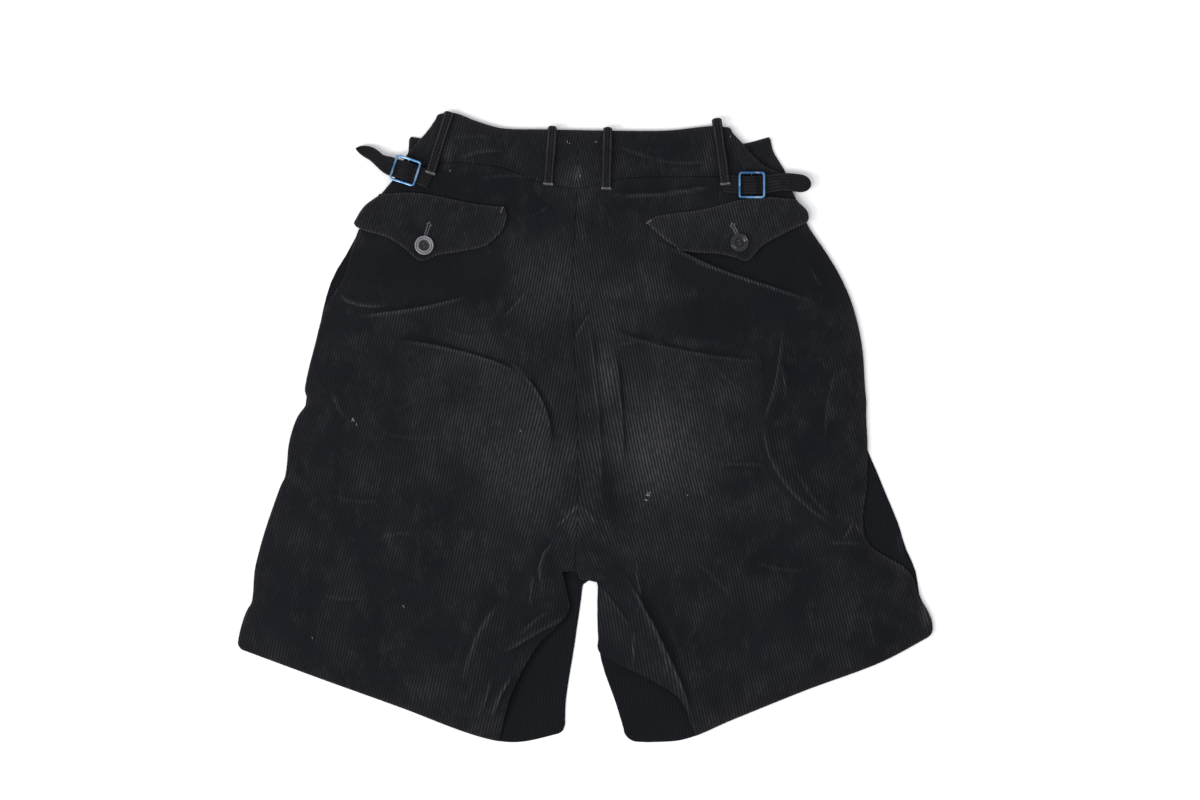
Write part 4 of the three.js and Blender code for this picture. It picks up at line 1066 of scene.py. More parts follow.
def build_front(side):
    cloth = bpy.context.scene.shorts_cloth
    left = side == "left"
    hem = hem_left if left else hem_right
    outer = front_left_edge if left else front_right_edge
    leg = front_inner_left if left else front_inner_right
    gap = -SEAM / 2 if left else SEAM / 2
    inner = lambda y: np.where(y < CROTCH_Y, leg(y), centre_front(y) + gap)
    grid = Grid(cloth, side, hem, lambda x: front_waist_low(x) - 2 * SEAM, outer, inner,
                rows=cloth.front_rows, lean=0.55, corners=(HEM_CORNER, HEM_CORNER_INNER[side], 0, 0),
                dense=FRONT_DENSE)
    made = cloth_piece(f"front_{side}_cloth", grid, plain(front_height), CLOTH, edge_wear=0.1,
                       rust_gain=0, shade=0.42, both_faces=True)
    return finish_piece(made, [f"front_{side}"])


def build_band(piece, side, low, top, outer, inner, surface, rests_on, **shape):
    """One stretch of the waistband."""
    cloth = bpy.context.scene.shorts_cloth
    grid = Grid(cloth, side, low, top, outer, inner, rows=cloth.band_rows, **shape)
    name = f"waistband_{piece}_{side}"
    made = cloth_piece(f"{name}_cloth", grid, surface, BAND, edge_wear=0.3)
    return finish_piece(made, [name])


def build_waistband():
    seam = {"left": straight(SIDE_SEAM_LEFT), "right": straight(SIDE_SEAM_RIGHT)}
    end = {"left": column_curve(BAND_END_LEFT, "y", "x"), "right": column_curve(BAND_END_RIGHT, "y", "x")}
    front_end = {"left": column_curve(FRONT_END_LEFT, "y", "x"),
                 "right": column_curve(FRONT_END_RIGHT, "y", "x")}
    for side, sign in (("left", -1), ("right", 1)):
        under = [f"waistband_front_{side}_cloth"]
        middle = lambda y, s=sign: centre_back(y) - s * SEAM_LAP
        build_band("back", side, waist_low, waist_top, seam[side], middle, back_surface, under,
                   seams=("low", "inner", "outer"))
        joint = lambda y, s=sign, f=seam[side]: f(y) + s * SEAM_SHOW
        build_band("side", side, waist_low, waist_top, end[side], joint, back_surface, under,
                   seams=("low", "inner"), corners=(0, 0, 5, 0))
        closing = level(FRONT_CLOSURE_X + (SEAM if side == "right" else 0))
        build_band("front", side, front_waist_low, front_waist_top, front_end[side], closing,
                   plain(front_height), [], lean=2.1, corners=(0, 0, 2.5, 0))


def build_fly():
    cloth = bpy.context.scene.shorts_cloth
    half = FLY_WIDTH / 2
    grid = Grid(cloth, "left", level(FLY_LOW), level(FLY_TOP), level(-half), level(half), rows=30,
                lean=0.0, corners=(6, 6, 0, 0))
    lying = plain(lambda x, y: front_height(x, y) + CLOTH + SEAM)
    made = cloth_piece("fly_cloth", grid, lying, CLOTH, wear_gain=0)
    return finish_piece(made, ["fly"])


def flap_edges(side):
    """The lower and the upper edge of a flap, as functions of x."""
    return [column_curve(FLAPS[side][name], "x", "y") for name in ("low", "top")]


def flap_surface(side):
    """The underside of a flap: on its panel, with its free edge a little up."""
    low, top = flap_edges(side)

    def surface(x, y):
        height, lean_x, lean_y, worn, dark = back_surface(x, y)
        share = np.clip((y - low(x)) / np.maximum(top(x) - low(x), 1), 0, 1)
        lifted = height + CLOTH + LIE + FLAP_LIFT * (1 - share)
        # A flap shows some of the folds' pale crests, painted sheen and wear, and none of their painted
        # lee shade
        return lifted, lean_x, lean_y, FLAP_SHEEN_AND_WEAR * worn, np.zeros(np.shape(dark))

    return surface


def flap_face(side):
    """Height of the upper face of a flap."""
    surface = flap_surface(side)
    return lambda x, y: surface(x, y)[0] + FLAP


def build_flap(side):
    cloth = bpy.context.scene.shorts_cloth
    low, top = flap_edges(side)
    outer, inner = (column_curve(FLAPS[side][name], "y", "x") for name in ("outer", "inner"))
    grid = Grid(cloth, side, low, top, outer, inner, rows=cloth.flap_rows, corners=(3, 3, 2, 2))
    made = cloth_piece(f"pocket_flap_{side}_cloth", grid, flap_surface(side), FLAP, wear_gain=0.5,
                       edge_wear=0.5, rust_gain=0.25, shade=FLAPS[side]["shade"])
    return finish_piece(made, [f"pocket_flap_{side}"])


# Ribbons: straps and belt loops, with wales along them

def route_points(rows, steps):
    """Evenly spaced points on a smooth curve through a table's points."""
    px = np.array([row["x"] for row in rows], float)
    py = np.array([row["y"] for row in rows], float)
    chord = path_lengths(px, py)
    fine = np.linspace(0, chord[-1], 600)
    marks = [{"s": s, "x": a, "y": b} for s, a, b in zip(chord, px, py)]
    fx, fy = column_curve(marks, "s", "x")(fine), column_curve(marks, "s", "y")(fine)
    length = path_lengths(fx, fy)
    at = np.linspace(0, length[-1], steps + 1)
    return np.interp(at, length, fx), np.interp(at, length, fy), length[-1]


def ribbon_piece(name, x, y, half, wales, height, thick, cloth, roll, worn):
    """A ribbon along a route, rolled at its edges; height gives its underside, worn its paleness."""
    across = np.linspace(-1, 1, wales * RIBBON_COLUMNS + 1)
    dx, dy = np.gradient(x), np.gradient(y)
    size = np.hypot(dx, dy)
    nx, ny = dy / size, -dx / size
    s = path_lengths(x, y)
    gx = x[:, None] + nx[:, None] * half[:, None] * across
    gy = y[:, None] + ny[:, None] * half[:, None] * across
    along = np.broadcast_to(s[:, None], gx.shape)
    tip = np.minimum(along, s[-1] - along)
    side = half[:, None] * (1 - np.abs(across))
    rounding = roundness(np.minimum(side, tip), roll, RIBBON_LEAST)
    u = np.broadcast_to((across + 1) / 2 * wales, gx.shape)
    dip = wale_depth(cloth, u) * rounding
    middle = height(gx, gy, along) + thick / 2
    top, bottom = middle + thick / 2 * rounding - dip, middle - thick / 2 * rounding
    rows, cols = gx.shape
    points = np.concatenate([np.stack([gx, gy, z], 2).reshape(-1, 3) for z in (top, bottom)])
    ids = np.arange(rows * cols).reshape(rows, cols)
    quads = np.stack([ids[:-1, :-1], ids[:-1, 1:], ids[1:, 1:], ids[1:, :-1]], 2).reshape(-1, 4)
    ring = np.concatenate([ids[0], ids[1:-1, -1], ids[-1][::-1], ids[1:-1, 0][::-1]])
    after = np.roll(ring, -1)
    n = rows * cols
    quads = np.concatenate([quads, quads[:, ::-1] + n, np.stack([ring + n, after + n, after, ring], 1)])
    wear = worn(side, tip, along / s[-1]).ravel()
    uv = np.stack([u.ravel(), along.ravel() / (cloth.wale_pitch / MM)], 1)
    uv, wear = (np.concatenate([values, values]) for values in (uv, wear))
    rust = np.full(2 * n, RIBBON_RUST)
    return make_object(name, points, quads, NO_TRIANGLES, material("corduroy"), uv, wear, rust)


def strap_seat(side):
    """Height of a strap's underside where it lies flat, from its node in the frame."""
    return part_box(f"adjuster_strap_{side}")[1][2] / MM - STRAP - STRAP_HUMP


def build_strap(side):
    cloth = bpy.context.scene.shorts_cloth
    strap = STRAPS[side]
    x, y, length = route_points(strap["route"], RIBBON_STEPS)
    s = np.linspace(0, length, len(x))
    start = strap["route"][0]
    buckle_at = math.hypot(strap["buckle"][0] - start["x"], strap["buckle"][1] - start["y"])
    left = length - s
    tip = np.clip(1 - (1 - np.minimum(left / strap["tip"], 1)) ** 2, 0.03, 1) ** strap["point"]
    free = smooth((s - buckle_at - STRAP_FREE) / STRAP_FREE)
    half = mix(STRAP_WIDTH, strap["free_width"], free) / 2 * tip
    seat = strap_seat(side)

    def height(gx, gy, along):
        past = along - buckle_at
        hump = smooth((HUMP_FOOT - np.abs(past)) / (HUMP_FOOT - HUMP_FLAT))
        droop = smooth((past - STRAP_FREE) / (length - buckle_at - STRAP_FREE))
        creased = HUMP_CREASE * hump * np.sin(TAU * past / HUMP_CREASE_PITCH + HUMP_CREASE_SLANT * gy)
        return seat + (STRAP_HUMP - HUMP_CREASE) * hump + creased - strap["droop"] * droop

    def worn(gap, tip, share):
        return STRAP_WEAR * np.exp(-gap / STRAP_WEAR_REACH) - STRAP_DYE

    made = ribbon_piece(f"adjuster_strap_{side}_cloth", x, y, half, STRAP_WALES, height, STRAP, cloth,
                        STRAP_ROLL, worn)
    return finish_piece(made, [f"adjuster_strap_{side}"])


def loop_height(loop):
    """A belt loop's underside: low at both ends, arched between, and over its strap at the foot."""
    over = strap_seat(loop["strap"]) + STRAP + SEAM if loop["strap"] else 0
    length = math.hypot(loop["top_x"] - loop["foot_x"], loop["top_y"] - loop["foot_y"])

    def height(gx, gy, along):
        t = along / length
        lying = back_top(gx, gy) + LIE + LOOP_ARCH * np.sin(math.pi * t)
        if not loop["strap"]:
            return lying
        return mix(lying, np.maximum(lying, over), smooth((LOOP_CLEARS - t) / LOOP_CLEARS_RAMP))

    return height


def loop_route(loop):
    """A belt loop's two ends, from its foot up."""
    return [{"x": loop["foot_x"], "y": loop["foot_y"]}, {"x": loop["top_x"], "y": loop["top_y"]}]


def build_loop(loop):
    cloth = bpy.context.scene.shorts_cloth
    x, y, length = route_points(loop_route(loop), RIBBON_STEPS)
    s = np.linspace(0, length, len(x))
    half = np.full(len(s), LOOP_WIDTH / 2)
    for end, r in ((s, LOOP_FOOT_ROUND), (length - s, LOOP_TOP_ROUND)):
        half = half - r + r * roundness(end, r)
    half = half + LOOP_WAVER * np.sin(s / LOOP_WAVER_SIZE + loop["top_x"])

    def worn(gap, tip, share):
        line = np.exp(-((gap - LOOP_LINE) / LOOP_LINE_REACH) ** 2)
        line = line * (LOOP_LINE_WEAR + LOOP_LINE_MORE * share ** 2)
        line = line * (0.85 + 0.15 * ripple(share * 60, gap, 14, 21))
        return line + LOOP_END_WEAR * np.exp(-tip / LOOP_END_REACH) - LOOP_DYE

    made = ribbon_piece(f"belt_loop_{loop['name']}_cloth", x, y, half, LOOP_WALES, loop_height(loop),
                        LOOP_THICK, cloth, LOOP_ROLL, worn)
    return finish_piece(made, [f"belt_loop_{loop['name']}"])


# Hardware

def ring_quads(count, sides, closed):
    """Quads between neighbouring rings of points, and from the last to the first if closed."""
    quads = []
    for i in range(count if closed else count - 1):
        a, b = i * sides, ((i + 1) % count) * sides
        for k in range(sides):
            m = (k + 1) % sides
            quads.append((a + k, b + k, b + m, a + m))
    return quads


def shifted(faces, base):
    """Faces whose points come after some others in one list."""
    return [tuple(base + k for k in face) for face in faces]


def tube(points, radius, sides):
    """Points, quads and end triangles of a round tube along a list of points."""
    spine = [Vector(point) for point in points]
    count = len(spine)
    rings = []
    normal = None
    for i, middle in enumerate(spine):
        way = (spine[min(i + 1, count - 1)] - spine[max(i - 1, 0)]).normalized()
        if normal is None:
            normal = way.cross(Vector((0.3, 0.2, 1))).normalized()
        normal = (normal - way * normal.dot(way)).normalized()
        other = way.cross(normal)
        for k in range(sides):
            turn = TAU * k / sides
            rings.append(tuple(middle + radius * (math.cos(turn) * normal + math.sin(turn) * other)))
    triangles = []
    for base, order in ((0, 1), ((count - 1) * sides, -1)):
        for k in range(1, sides - 1):
            corner = (base, base + k, base + k + 1)
            triangles.append(corner[::order])
    return rings, ring_quads(count, sides, False), triangles


def join_tubes(name, runs, material_name, sides=6):
    """One mesh from many short tubes: each run is its points and its radius."""
    points, quads, triangles = [], [], []
    for run, radius in runs:
        tube_points, tube_quads, tube_triangles = tube(run, radius, sides)
        quads += shifted(tube_quads, len(points))
        triangles += shifted(tube_triangles, len(points))
        points += tube_points
    look = material(material_name)
    return make_object(name, np.array(points), np.array(quads), np.array(triangles), look)


def rounded_square(side, corner, steps=6):
    """Points round a square with round corners."""
    h = side / 2 - corner
    found = []
    for quarter, (cx, cy) in enumerate(((h, h), (-h, h), (-h, -h), (h, -h))):
        for k in range(steps + 1):
            turn = (quarter + k / steps) * math.pi / 2
            found.append((cx + corner * math.cos(turn), cy + corner * math.sin(turn)))
    return found


def sweep_frame(path, half_wide, half_high, sides=16, power=0.72):
    """A closed bar with a softly square section, swept round a flat closed path."""
    points = []
    count = len(path)
    for i, (x, y) in enumerate(path):
        ax, ay = path[i - 1]
        bx, by = path[(i + 1) % count]
        size = math.hypot(bx - ax, by - ay)
        nx, ny = (by - ay) / size, -(bx - ax) / size
        for k in range(sides):
            turn = TAU * k / sides
            c, s = math.cos(turn), math.sin(turn)
            out = half_wide * math.copysign(abs(c) ** power, c)
            up = half_high * math.copysign(abs(s) ** power, s)
            points.append((x + nx * out, y + ny * out, up))
    return points, ring_quads(count, sides, True)


def build_buckle(side):
    """A square frame with round corners, and the rod across it that hangs under the strap."""
    strap = STRAPS[side]
    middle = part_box(f"buckle_{side}")[1][2] / MM - BUCKLE_THICK / 2
    path = rounded_square(BUCKLE_SIDE - BUCKLE_BAR, BUCKLE_CORNER)
    points, quads = sweep_frame(path, BUCKLE_BAR / 2, BUCKLE_THICK / 2)
    reach = (BUCKLE_SIDE - BUCKLE_BAR) / 2
    rod = [(0, reach * t, -ROD_LOW - ROD_DROP * (1 - t ** 6)) for t in np.linspace(-1, 1, 21)]
    rod_points, rod_quads, rod_triangles = tube(rod, ROD_RADIUS, 12)
    quads += shifted(rod_quads, len(points))
    triangles = shifted(rod_triangles, len(points))
    points += rod_points
    turned = Matrix.Rotation(math.radians(strap["turn"]), 3, "Z")
    centre = Vector((*strap["buckle"], middle))
    placed = np.array([tuple(turned @ Vector(p) + centre) for p in points])
    look = material("steel")
    made = make_object(f"buckle_{side}_steel", placed, np.array(quads), np.array(triangles), look)
    return finish_piece(made, [f"buckle_{side}"])


def button_mesh(name, radius, look):
    """A turned button: a rounded rim, a groove, an inner ridge and a dish with four holes cut through."""
    t = BUTTON_THICK
    # Distance in from the edge, height, and how rubbed it is; the rub also paints highlight on the ridges
    # and shade in the grooves and dish
    profile = table(
        "inwards z rub",
        (radius, 0, 0), (0.28 * radius, 0, 0), (0.5, 0.3, 0), (0.1, 0.9, 0.2), (0, 1.4, 0.4),
        (0.15, t - 0.55, 0.8), (0.5, t - 0.12, 1), (0.95, t, 1), (1.4, t - 0.15, 0.7),
        (1.75, t - 0.5, 0.2), (2.1, t - 0.5, 0.2), (2.45, t - 0.2, 0.9), (2.9, t - 0.15, 1),
        (3.4, t - 0.4, 0.6), (3.9, t - 0.95, 0.1), (4.5, t - 1.15, 0), (5.4, t - 1.2, 0),
        (radius, t - 1.2, 0.05),
    )
    segments = BUTTON_SEGMENTS
    points, rub = [(0, 0, profile[0]["z"])], [profile[0]["rub"]]
    for row in profile[1:-1]:
        r = radius - row["inwards"]
        for k in range(segments):
            turn = TAU * k / segments
            points.append((r * math.cos(turn), r * math.sin(turn), row["z"]))
            rub.append(row["rub"])
    points.append((0, 0, profile[-1]["z"]))
    rub.append(profile[-1]["rub"])
    quads, triangles = [], []
    rings = len(profile) - 2
    last = 1 + (rings - 1) * segments
    for k in range(segments):
        m = (k + 1) % segments
        triangles.append((0, 1 + m, 1 + k))
        triangles.append((len(points) - 1, last + k, last + m))
        for i in range(rings - 1):
            a, b = 1 + i * segments, 1 + (i + 1) * segments
            quads.append((a + k, a + m, b + m, b + k))
    made = make_object(name, np.array(points), np.array(quads), np.array(triangles), look, wear=rub)
    for i in range(4):
        turn = (i + 0.5) * math.pi / 2
        at = (BUTTON_HOLE_RING * math.cos(turn), BUTTON_HOLE_RING * math.sin(turn))
        drill = tube([(*at, -2.0), (*at, 2 * t)], BUTTON_HOLE, 16)
        cutter = make_object("cutter", *(np.array(part) for part in drill), look)
        cut = made.modifiers.new("hole", "BOOLEAN")
        cut.object, cut.operation, cut.solver = cutter, "DIFFERENCE", "EXACT"
        bpy.context.view_layer.update()
        shape = bpy.data.meshes.new_from_object(made.evaluated_get(bpy.context.evaluated_depsgraph_get()))
        made.modifiers.clear()
        made.data = shape
        bpy.data.objects.remove(cutter)
    return made


def build_button(node_name, look):
    low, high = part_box(node_name)
    radius = (high[0] - low[0]) / 2 / MM
    made = button_mesh(f"{node_name}_resin", radius, material(look))
    centre = Vector(((low[0] + high[0]) / 2, (low[1] + high[1]) / 2, low[2]))
    made.data.transform(Matrix.Translation(centre) @ Matrix.Rotation(BUTTON_TURN, 4, "Z"))
    return finish_piece(made, [node_name])


# Sewing and lint

def surface_run(xy, height, lift):
    """Points on a surface, a little above it."""
    xy = np.asarray(xy, float)
    return np.column_stack([xy, height(xy[:, 0], xy[:, 1]) + lift])


def bar_tack(centre, way, length, spread, height, lift, count):
    """A close zigzag of thread over a length, as a machine tack."""
    along = np.array(way, float) / np.hypot(*way)
    across = np.array([-along[1], along[0]])
    t = np.linspace(-0.5, 0.5, 2 * count)
    side = np.where(np.arange(2 * count) % 2 == 0, 0.5, -0.5)
    xy = np.asarray(centre) + np.outer(t * length, along) + np.outer(side * spread, across)
    return surface_run(xy, height, lift)


BUTTONHOLES = table(
    "side x1 y1 x2 y2",
    ("left", -139.6, 181.4, -142.6, 172.0),
    ("right", 132.2, 180.8, 136.2, 173.4),
)
FLAP_TACKS = table("side x y turn", ("left", -74.5, 194.5, 70), ("right", 57.5, 183.6, 35))
TACK_UP = 1.6  # how far up its loop a tack lies
SLIT_HALF = 0.45  # half the width of a buttonhole's slit, and how far out its thread goes
WRAP_IN, WRAP_OUT = 0.1, 1.15
WRAPS = 58
EYE_WIDER, EYE_LENGTH = 0.7, 1.6
STITCH_BOW = (-0.3, 0.12, 0.12, -0.3)  # rise of a stitch along its length: its ends dip into the cloth
THREAD_OFFSETS = (-0.35, 0.0, 0.35)  # the strands side by side through two holes of a button
THREAD_SUNK, THREAD_ARCH = 0.9, 1.45  # how deep their ends are below the dish, and how high they arch
BUTTON_DISH = 1.05  # depth of the dish below the button's top
TACK_THREAD, TACK_THREAD_OVER, FLAP_THREAD = 0.36, 0.3, 0.28  # radii
HOLE_THREAD, BUTTON_THREAD = 0.27, 0.22


def build_tacks():
    """Bar tacks: the loops' feet, and the upper inner corners of the flaps."""
    runs = []
    for loop in LOOPS:
        way = (loop["top_x"] - loop["foot_x"], loop["top_y"] - loop["foot_y"])
        size = math.hypot(*way)
        unit = (way[0] / size, way[1] / size)
        across = (-unit[1], unit[0])
        under = loop_height(loop)
        share = TACK_UP / size
        centre = (mix(loop["foot_x"], loop["top_x"], share), mix(loop["foot_y"], loop["top_y"], share))
        face = lambda x, y, f=under, s=share * size: f(x, y, np.full(np.shape(x), s)) + LOOP_THICK
        lower = bar_tack(centre, across, LOOP_WIDTH, spread=2.0, height=face, lift=-0.1, count=9)
        upper = bar_tack(centre, across, LOOP_WIDTH - 1.2, spread=1.2, height=face, lift=0.2, count=7)
        runs += [(lower, TACK_THREAD), (upper, TACK_THREAD_OVER)]
    for tack in FLAP_TACKS:
        turn = math.radians(tack["turn"])
        centre, way = (tack["x"], tack["y"]), (math.cos(turn), math.sin(turn))
        face = flap_face(tack["side"])
        zigzag = bar_tack(centre, way, length=5, spread=1.4, height=face, lift=0.0, count=6)
        runs.append((zigzag, FLAP_THREAD))
    made = join_tubes("bar_tacks", runs, "tack")
    return finish_piece(made, [])


def stadium(length, radius, count):
    """Points round a slit, with the way out from it at each: two straight sides and two round ends."""
    around = 2 * length + TAU * radius
    found = []
    for s in np.arange(count) / count * around:
        if s < length:
            found.append((s - length / 2, radius, 0, 1))
        elif s < length + math.pi * radius:
            turn = math.pi / 2 - (s - length) / radius
            found.append((length / 2 + radius * math.cos(turn), radius * math.sin(turn),
                          math.cos(turn), math.sin(turn)))
        elif s < 2 * length + math.pi * radius:
            found.append((1.5 * length + math.pi * radius - s, -radius, 0, -1))
        else:
            turn = -math.pi / 2 - (s - 2 * length - math.pi * radius) / radius
            found.append((-length / 2 + radius * math.cos(turn), radius * math.sin(turn),
                          math.cos(turn), math.sin(turn)))
    return np.array(found)


def build_buttonholes():
    """Worked buttonholes: thread wrapped close round a slit, wider at the eye."""
    runs = []
    for hole in BUTTONHOLES:
        a, b = np.array([hole["x1"], hole["y1"]]), np.array([hole["x2"], hole["y2"]])
        along = (b - a) / np.hypot(*(b - a))
        across = np.array([-along[1], along[0]])
        ring = stadium(np.hypot(*(b - a)), SLIT_HALF, WRAPS)
        eye = 1 + EYE_WIDER * np.exp(-((ring[:, 0] - ring[:, 0].min()) / EYE_LENGTH) ** 2)
        reach = np.where(np.arange(len(ring)) % 2, WRAP_IN, WRAP_OUT)
        px = ring[:, 0] + ring[:, 2] * reach * eye
        py = ring[:, 1] * eye + ring[:, 3] * reach * eye
        xy = (a + b) / 2 + np.outer(px, along) + np.outer(py, across)
        runs.append((surface_run(xy, flap_face(hole["side"]), 0.12), HOLE_THREAD))
    made = join_tubes("buttonhole_stitches", runs, "buttonhole")
    return finish_piece(made, [])


def dashes(x, y, height, lift, length=2.3, gap=0.9, radius=0.2):
    """A row of sewn stitches along a line on a surface."""
    s = path_lengths(x, y)
    runs = []
    start = 0.5
    while start + length < s[-1]:
        t = np.linspace(start, start + length, len(STITCH_BOW))
        px, py = np.interp(t, s, x), np.interp(t, s, y)
        runs.append((np.column_stack([px, py, height(px, py) + lift + np.array(STITCH_BOW)]), radius))
        start += length + gap
    return runs


def build_edge_stitches():
    """Stitches along the loops' edges and down the darts."""
    runs = []
    for loop in LOOPS:
        x, y, length = route_points(loop_route(loop), 60)
        unit = np.array([x[-1] - x[0], y[-1] - y[0]]) / length
        under = loop_height(loop)
        for side in (-1, 1):
            off = side * (LOOP_WIDTH / 2 - 1.5)
            px, py = x - unit[1] * off, y + unit[0] * off
            face = lambda a, b: under(a, b, (a - x[0]) * unit[0] + (b - y[0]) * unit[1]) + LOOP_THICK
            runs += dashes(px, py, face, -0.05)
    for dart in DARTS:
        t = np.linspace(0, 1, 12)
        runs += dashes(mix(dart["x1"], dart["x2"], t), mix(dart["y1"], dart["y2"], t), panel_top, 0.0,
                       length=1.4, gap=1.8, radius=0.16)
    made = join_tubes("edge_stitches", runs, "stitch")
    return finish_piece(made, [])


def build_button_threads():
    """Thread through each flap button's holes."""
    runs = []
    for node_name in ("flap_button_left", "flap_button_right"):
        low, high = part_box(node_name)
        cx, cy = (low[0] + high[0]) / 2 / MM, (low[1] + high[1]) / 2 / MM
        z = low[2] / MM + BUTTON_THICK - BUTTON_DISH
        turns = [BUTTON_TURN + (i + 0.5) * math.pi / 2 for i in range(4)]
        holes = [(cx + BUTTON_HOLE_RING * math.cos(turn), cy + BUTTON_HOLE_RING * math.sin(turn))
                 for turn in turns]
        for a, b in ((0, 1), (2, 3)):
            for off in THREAD_OFFSETS:
                (ax, ay), (bx, by) = holes[a], holes[b]
                size = math.hypot(bx - ax, by - ay)
                ox, oy = -(by - ay) / size * off, (bx - ax) / size * off
                t = np.linspace(0, 1, 7)
                lift = -THREAD_SUNK + THREAD_ARCH * np.sqrt(np.clip(1 - (2 * t - 1) ** 4, 0, 1))
                px, py = ax + ox + t * (bx - ax), ay + oy + t * (by - ay)
                runs.append((np.column_stack([px, py, z + lift]), BUTTON_THREAD))
    made = join_tubes("button_threads", runs, "stitch")
    return finish_piece(made, [])


# Bits of lint and loose thread on the cloth: place, size across and how many fibres
LINT = table(
    "x y size count",
    (56.7, -60.7, 4.0, 9),
    (54.9, -66.0, 2.6, 5),
    (90.9, -60.7, 1.8, 3),
    (-57.6, -3.2, 1.8, 3),
    (-208.4, 5.8, 3.4, 6),
    (-205.6, 1.4, 2.2, 3),
    (-163.4, -161.6, 4.0, 2),
    (-15.3, 255.5, 2.4, 3),
    (9.9, 255.5, 2.4, 3),
    (131.0, 261.0, 2.2, 2),
    (-4.0, 224.6, 1.4, 3),
    (-121.0, 229.0, 1.6, 2),
    (-245.0, -190.0, 1.8, 2),
)


def build_lint():
    draw = np.random.default_rng(11)
    runs = []
    for bit in LINT:
        for _ in range(bit["count"]):
            turn = draw.uniform(0, TAU)
            cx, cy = np.array([bit["x"], bit["y"]]) + draw.normal(0, bit["size"] / 3, 2)
            t = np.linspace(-0.5, 0.5, 5)
            bend = draw.uniform(-0.5, 0.5)
            length = bit["size"] * draw.uniform(0.3, 0.7)
            lx, ly = t * length, bend * length * (t * t - 0.1)
            xy = np.column_stack([cx + lx * math.cos(turn) - ly * math.sin(turn),
                                  cy + lx * math.sin(turn) + ly * math.cos(turn)])
            runs.append((surface_run(xy, back_top, 0.12), draw.uniform(0.06, 0.12)))
    made = join_tubes("lint", runs, "lint", sides=5)
    return finish_piece(made, [])


# Stage

def build_stage():
    stage = bpy.context.scene.shorts_stage
    half = stage.floor_size / 2
    corners = np.array([(-half, -half, 0), (half, -half, 0), (half, half, 0), (-half, half, 0)]) / MM
    floor = make_object("floor", corners, np.array([[0, 1, 2, 3]]), NO_TRIANGLES, material("floor"))
    camera = bpy.data.cameras.new("camera")
    camera.lens = stage.lens
    camera.sensor_width = stage.sensor_width
    camera.clip_end = 20
    seen = bpy.data.objects.new("camera", camera)
    distance = stage.view_width * stage.lens / stage.sensor_width
    seen.location = (stage.view_x, stage.view_y, distance)
    bpy.context.scene.collection.objects.link(seen)
    bpy.context.scene.camera = seen
    world = bpy.data.worlds.new("soft room")
    bpy.context.scene.world = world
    world.use_nodes = True
    back = world.node_tree.nodes["Background"]
    back.inputs["Color"].default_value = (0.97, 0.98, 1.0, 1.0)
    back.inputs["Strength"].default_value = stage.room_light
    for name, place, size, power in (
        ("softbox", (-3.6, -1.2, 2.6), 1.4, stage.softbox_light),
        ("top light", (-1.2, -1.0, 2.8), 1.0, stage.fill_light),
    ):
        light = bpy.data.lights.new(name, "AREA")
        light.energy = power
        light.size = size
        lamp = bpy.data.objects.new(name, light)
        lamp.location = place
        lamp.rotation_euler = (-Vector(place)).to_track_quat("-Z", "Y").to_euler()
        bpy.context.scene.collection.objects.link(lamp)
    bpy.context.scene.view_settings.view_transform = "Standard"


# Settings

class ShortsCloth(bpy.types.PropertyGroup):
    """Sizes and colours of the corduroy."""
    wale_pitch: bpy.props.FloatProperty(
        name="Wale pitch", description="From one wale to the next", default=0.0027, unit="LENGTH",
        precision=4)
    wale_height: bpy.props.FloatProperty(
        name="Wale height", description="Depth of the valleys between wales", default=0.0005,
        unit="LENGTH", precision=4)
    panel_rows: bpy.props.IntProperty(
        name="Panel rows", description="Mesh rows up a back panel", default=256, min=20)
    front_rows: bpy.props.IntProperty(
        name="Front rows", description="Mesh rows up a front panel", default=60, min=10)
    band_rows: bpy.props.IntProperty(
        name="Band rows", description="Mesh rows up the waistband", default=38, min=6)
    flap_rows: bpy.props.IntProperty(
        name="Flap rows", description="Mesh rows up a pocket flap", default=44, min=6)
    pile_colour: bpy.props.StringProperty(
        name="Pile", description="sRGB hex colour of the top of a wale", default="#1d1e20")
    valley_colour: bpy.props.StringProperty(
        name="Valley", description="sRGB hex colour between wales", default="#0d0e10")
    worn_colour: bpy.props.StringProperty(
        name="Worn", description="sRGB hex colour of worn pile", default="#57575b")
    shade_colour: bpy.props.StringProperty(
        name="Shade", description="sRGB hex colour of the bluer places", default="#12141b")
    rust_colour: bpy.props.StringProperty(
        name="Rust", description="sRGB hex colour of the dye's brown fading", default="#302a2a")


class ShortsStage(bpy.types.PropertyGroup):
    """The camera over the shorts, the floor and the light."""
    view_width: bpy.props.FloatProperty(
        name="View width", description="Width of floor that the camera takes in", default=1.08,
        unit="LENGTH")
    view_x: bpy.props.FloatProperty(
        name="View X", description="Middle of the view across", default=0.0135, unit="LENGTH", precision=4)
    view_y: bpy.props.FloatProperty(
        name="View Y", description="Middle of the view up", default=0.02385, unit="LENGTH", precision=4)
    lens: bpy.props.FloatProperty(
        name="Lens", description="Focal length in millimetres", default=85.0)
    sensor_width: bpy.props.FloatProperty(
        name="Sensor", description="Sensor width in millimetres", default=36.0)
    floor_size: bpy.props.FloatProperty(
        name="Floor", description="Width of the floor", default=12.0, unit="LENGTH")
    room_light: bpy.props.FloatProperty(
        name="Room light", description="Strength of the even light all round", default=0.81)
    softbox_light: bpy.props.FloatProperty(
        name="Softbox", description="Power of the main soft light", default=100.0, unit="POWER")
    fill_light: bpy.props.FloatProperty(
        name="Top light", description="Power of the light above the camera", default=26.0, unit="POWER")


# Operators

class SHORTS_OT_stage(bpy.types.Operator):
    """Adds the floor, the light and the camera"""
    bl_idname = "shorts.stage"
    bl_label = "Stage"

    def execute(self, context):
        build_stage()
        return {"FINISHED"}


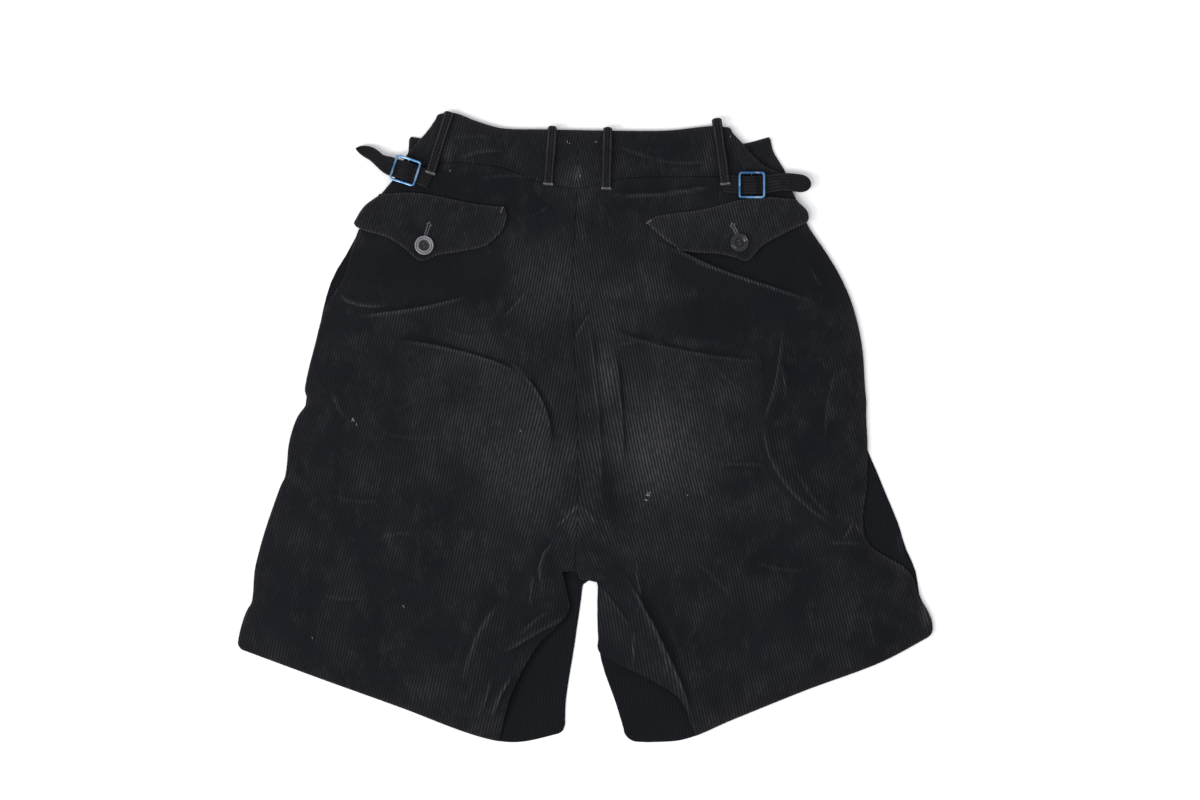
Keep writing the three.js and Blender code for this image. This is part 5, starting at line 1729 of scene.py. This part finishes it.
class SHORTS_OT_fronts(bpy.types.Operator):
    """Builds the front panels, which lie underneath, and the fly inside them"""
    bl_idname = "shorts.fronts"
    bl_label = "Front panels and fly"

    def execute(self, context):
        for side in SIDES:
            build_front(side)
        build_fly()
        return {"FINISHED"}


class SHORTS_OT_backs(bpy.types.Operator):
    """Builds the folded back panels"""
    bl_idname = "shorts.backs"
    bl_label = "Back panels"

    def execute(self, context):
        for side in SIDES:
            build_back(side)
        return {"FINISHED"}


class SHORTS_OT_waistband(bpy.types.Operator):
    """Builds the waistband in its back, side and front stretches"""
    bl_idname = "shorts.waistband"
    bl_label = "Waistband"

    def execute(self, context):
        build_waistband()
        return {"FINISHED"}


class SHORTS_OT_flaps(bpy.types.Operator):
    """Builds the pocket flaps"""
    bl_idname = "shorts.flaps"
    bl_label = "Pocket flaps"

    def execute(self, context):
        for side in SIDES:
            build_flap(side)
        return {"FINISHED"}


class SHORTS_OT_loops(bpy.types.Operator):
    """Builds the four belt loops of the back"""
    bl_idname = "shorts.loops"
    bl_label = "Belt loops"

    def execute(self, context):
        for loop in LOOPS:
            build_loop(loop)
        return {"FINISHED"}


class SHORTS_OT_straps(bpy.types.Operator):
    """Builds the adjuster straps and their slide buckles"""
    bl_idname = "shorts.straps"
    bl_label = "Straps and buckles"

    def execute(self, context):
        for side in SIDES:
            build_strap(side)
            build_buckle(side)
        return {"FINISHED"}


class SHORTS_OT_buttons(bpy.types.Operator):
    """Builds the flap buttons and the waist button, with their thread"""
    bl_idname = "shorts.buttons"
    bl_label = "Buttons"

    def execute(self, context):
        build_button("flap_button_left", "pale button")
        build_button("flap_button_right", "dark button")
        build_button("waist_button", "dark button")
        build_button_threads()
        return {"FINISHED"}


class SHORTS_OT_sewing(bpy.types.Operator):
    """Adds the bar tacks, buttonholes and rows of stitches"""
    bl_idname = "shorts.sewing"
    bl_label = "Sewing"

    def execute(self, context):
        build_tacks()
        build_buttonholes()
        build_edge_stitches()
        return {"FINISHED"}


class SHORTS_OT_lint(bpy.types.Operator):
    """Adds bits of lint and loose thread"""
    bl_idname = "shorts.lint"
    bl_label = "Lint"

    def execute(self, context):
        build_lint()
        return {"FINISHED"}


STEPS = (
    SHORTS_OT_stage, SHORTS_OT_fronts, SHORTS_OT_backs, SHORTS_OT_waistband, SHORTS_OT_flaps,
    SHORTS_OT_loops, SHORTS_OT_straps, SHORTS_OT_buttons, SHORTS_OT_sewing, SHORTS_OT_lint,
)


class SHORTS_PT_panel(bpy.types.Panel):
    """Lists the shorts' settings and building steps."""
    bl_label = "Corduroy shorts"
    bl_idname = "SHORTS_PT_panel"
    bl_space_type = "VIEW_3D"
    bl_region_type = "UI"
    bl_category = "Shorts"

    def draw(self, context):
        for group in (context.scene.shorts_cloth, context.scene.shorts_stage):
            box = self.layout.box()
            for name in group.__annotations__:
                box.prop(group, name)
        for step in STEPS:
            self.layout.operator(step.bl_idname)


CLASSES = (ShortsCloth, ShortsStage, *STEPS, SHORTS_PT_panel)


def register():
    for item in CLASSES:
        bpy.utils.register_class(item)
    bpy.types.Scene.shorts_cloth = bpy.props.PointerProperty(type=ShortsCloth)
    bpy.types.Scene.shorts_stage = bpy.props.PointerProperty(type=ShortsStage)


def unregister():
    del bpy.types.Scene.shorts_stage
    del bpy.types.Scene.shorts_cloth
    for item in reversed(CLASSES):
        bpy.utils.unregister_class(item)


def main():
    register()
    for step in STEPS:
        getattr(bpy.ops.shorts, step.bl_idname.split(".")[1])()


if __name__ == "__main__":
    main()
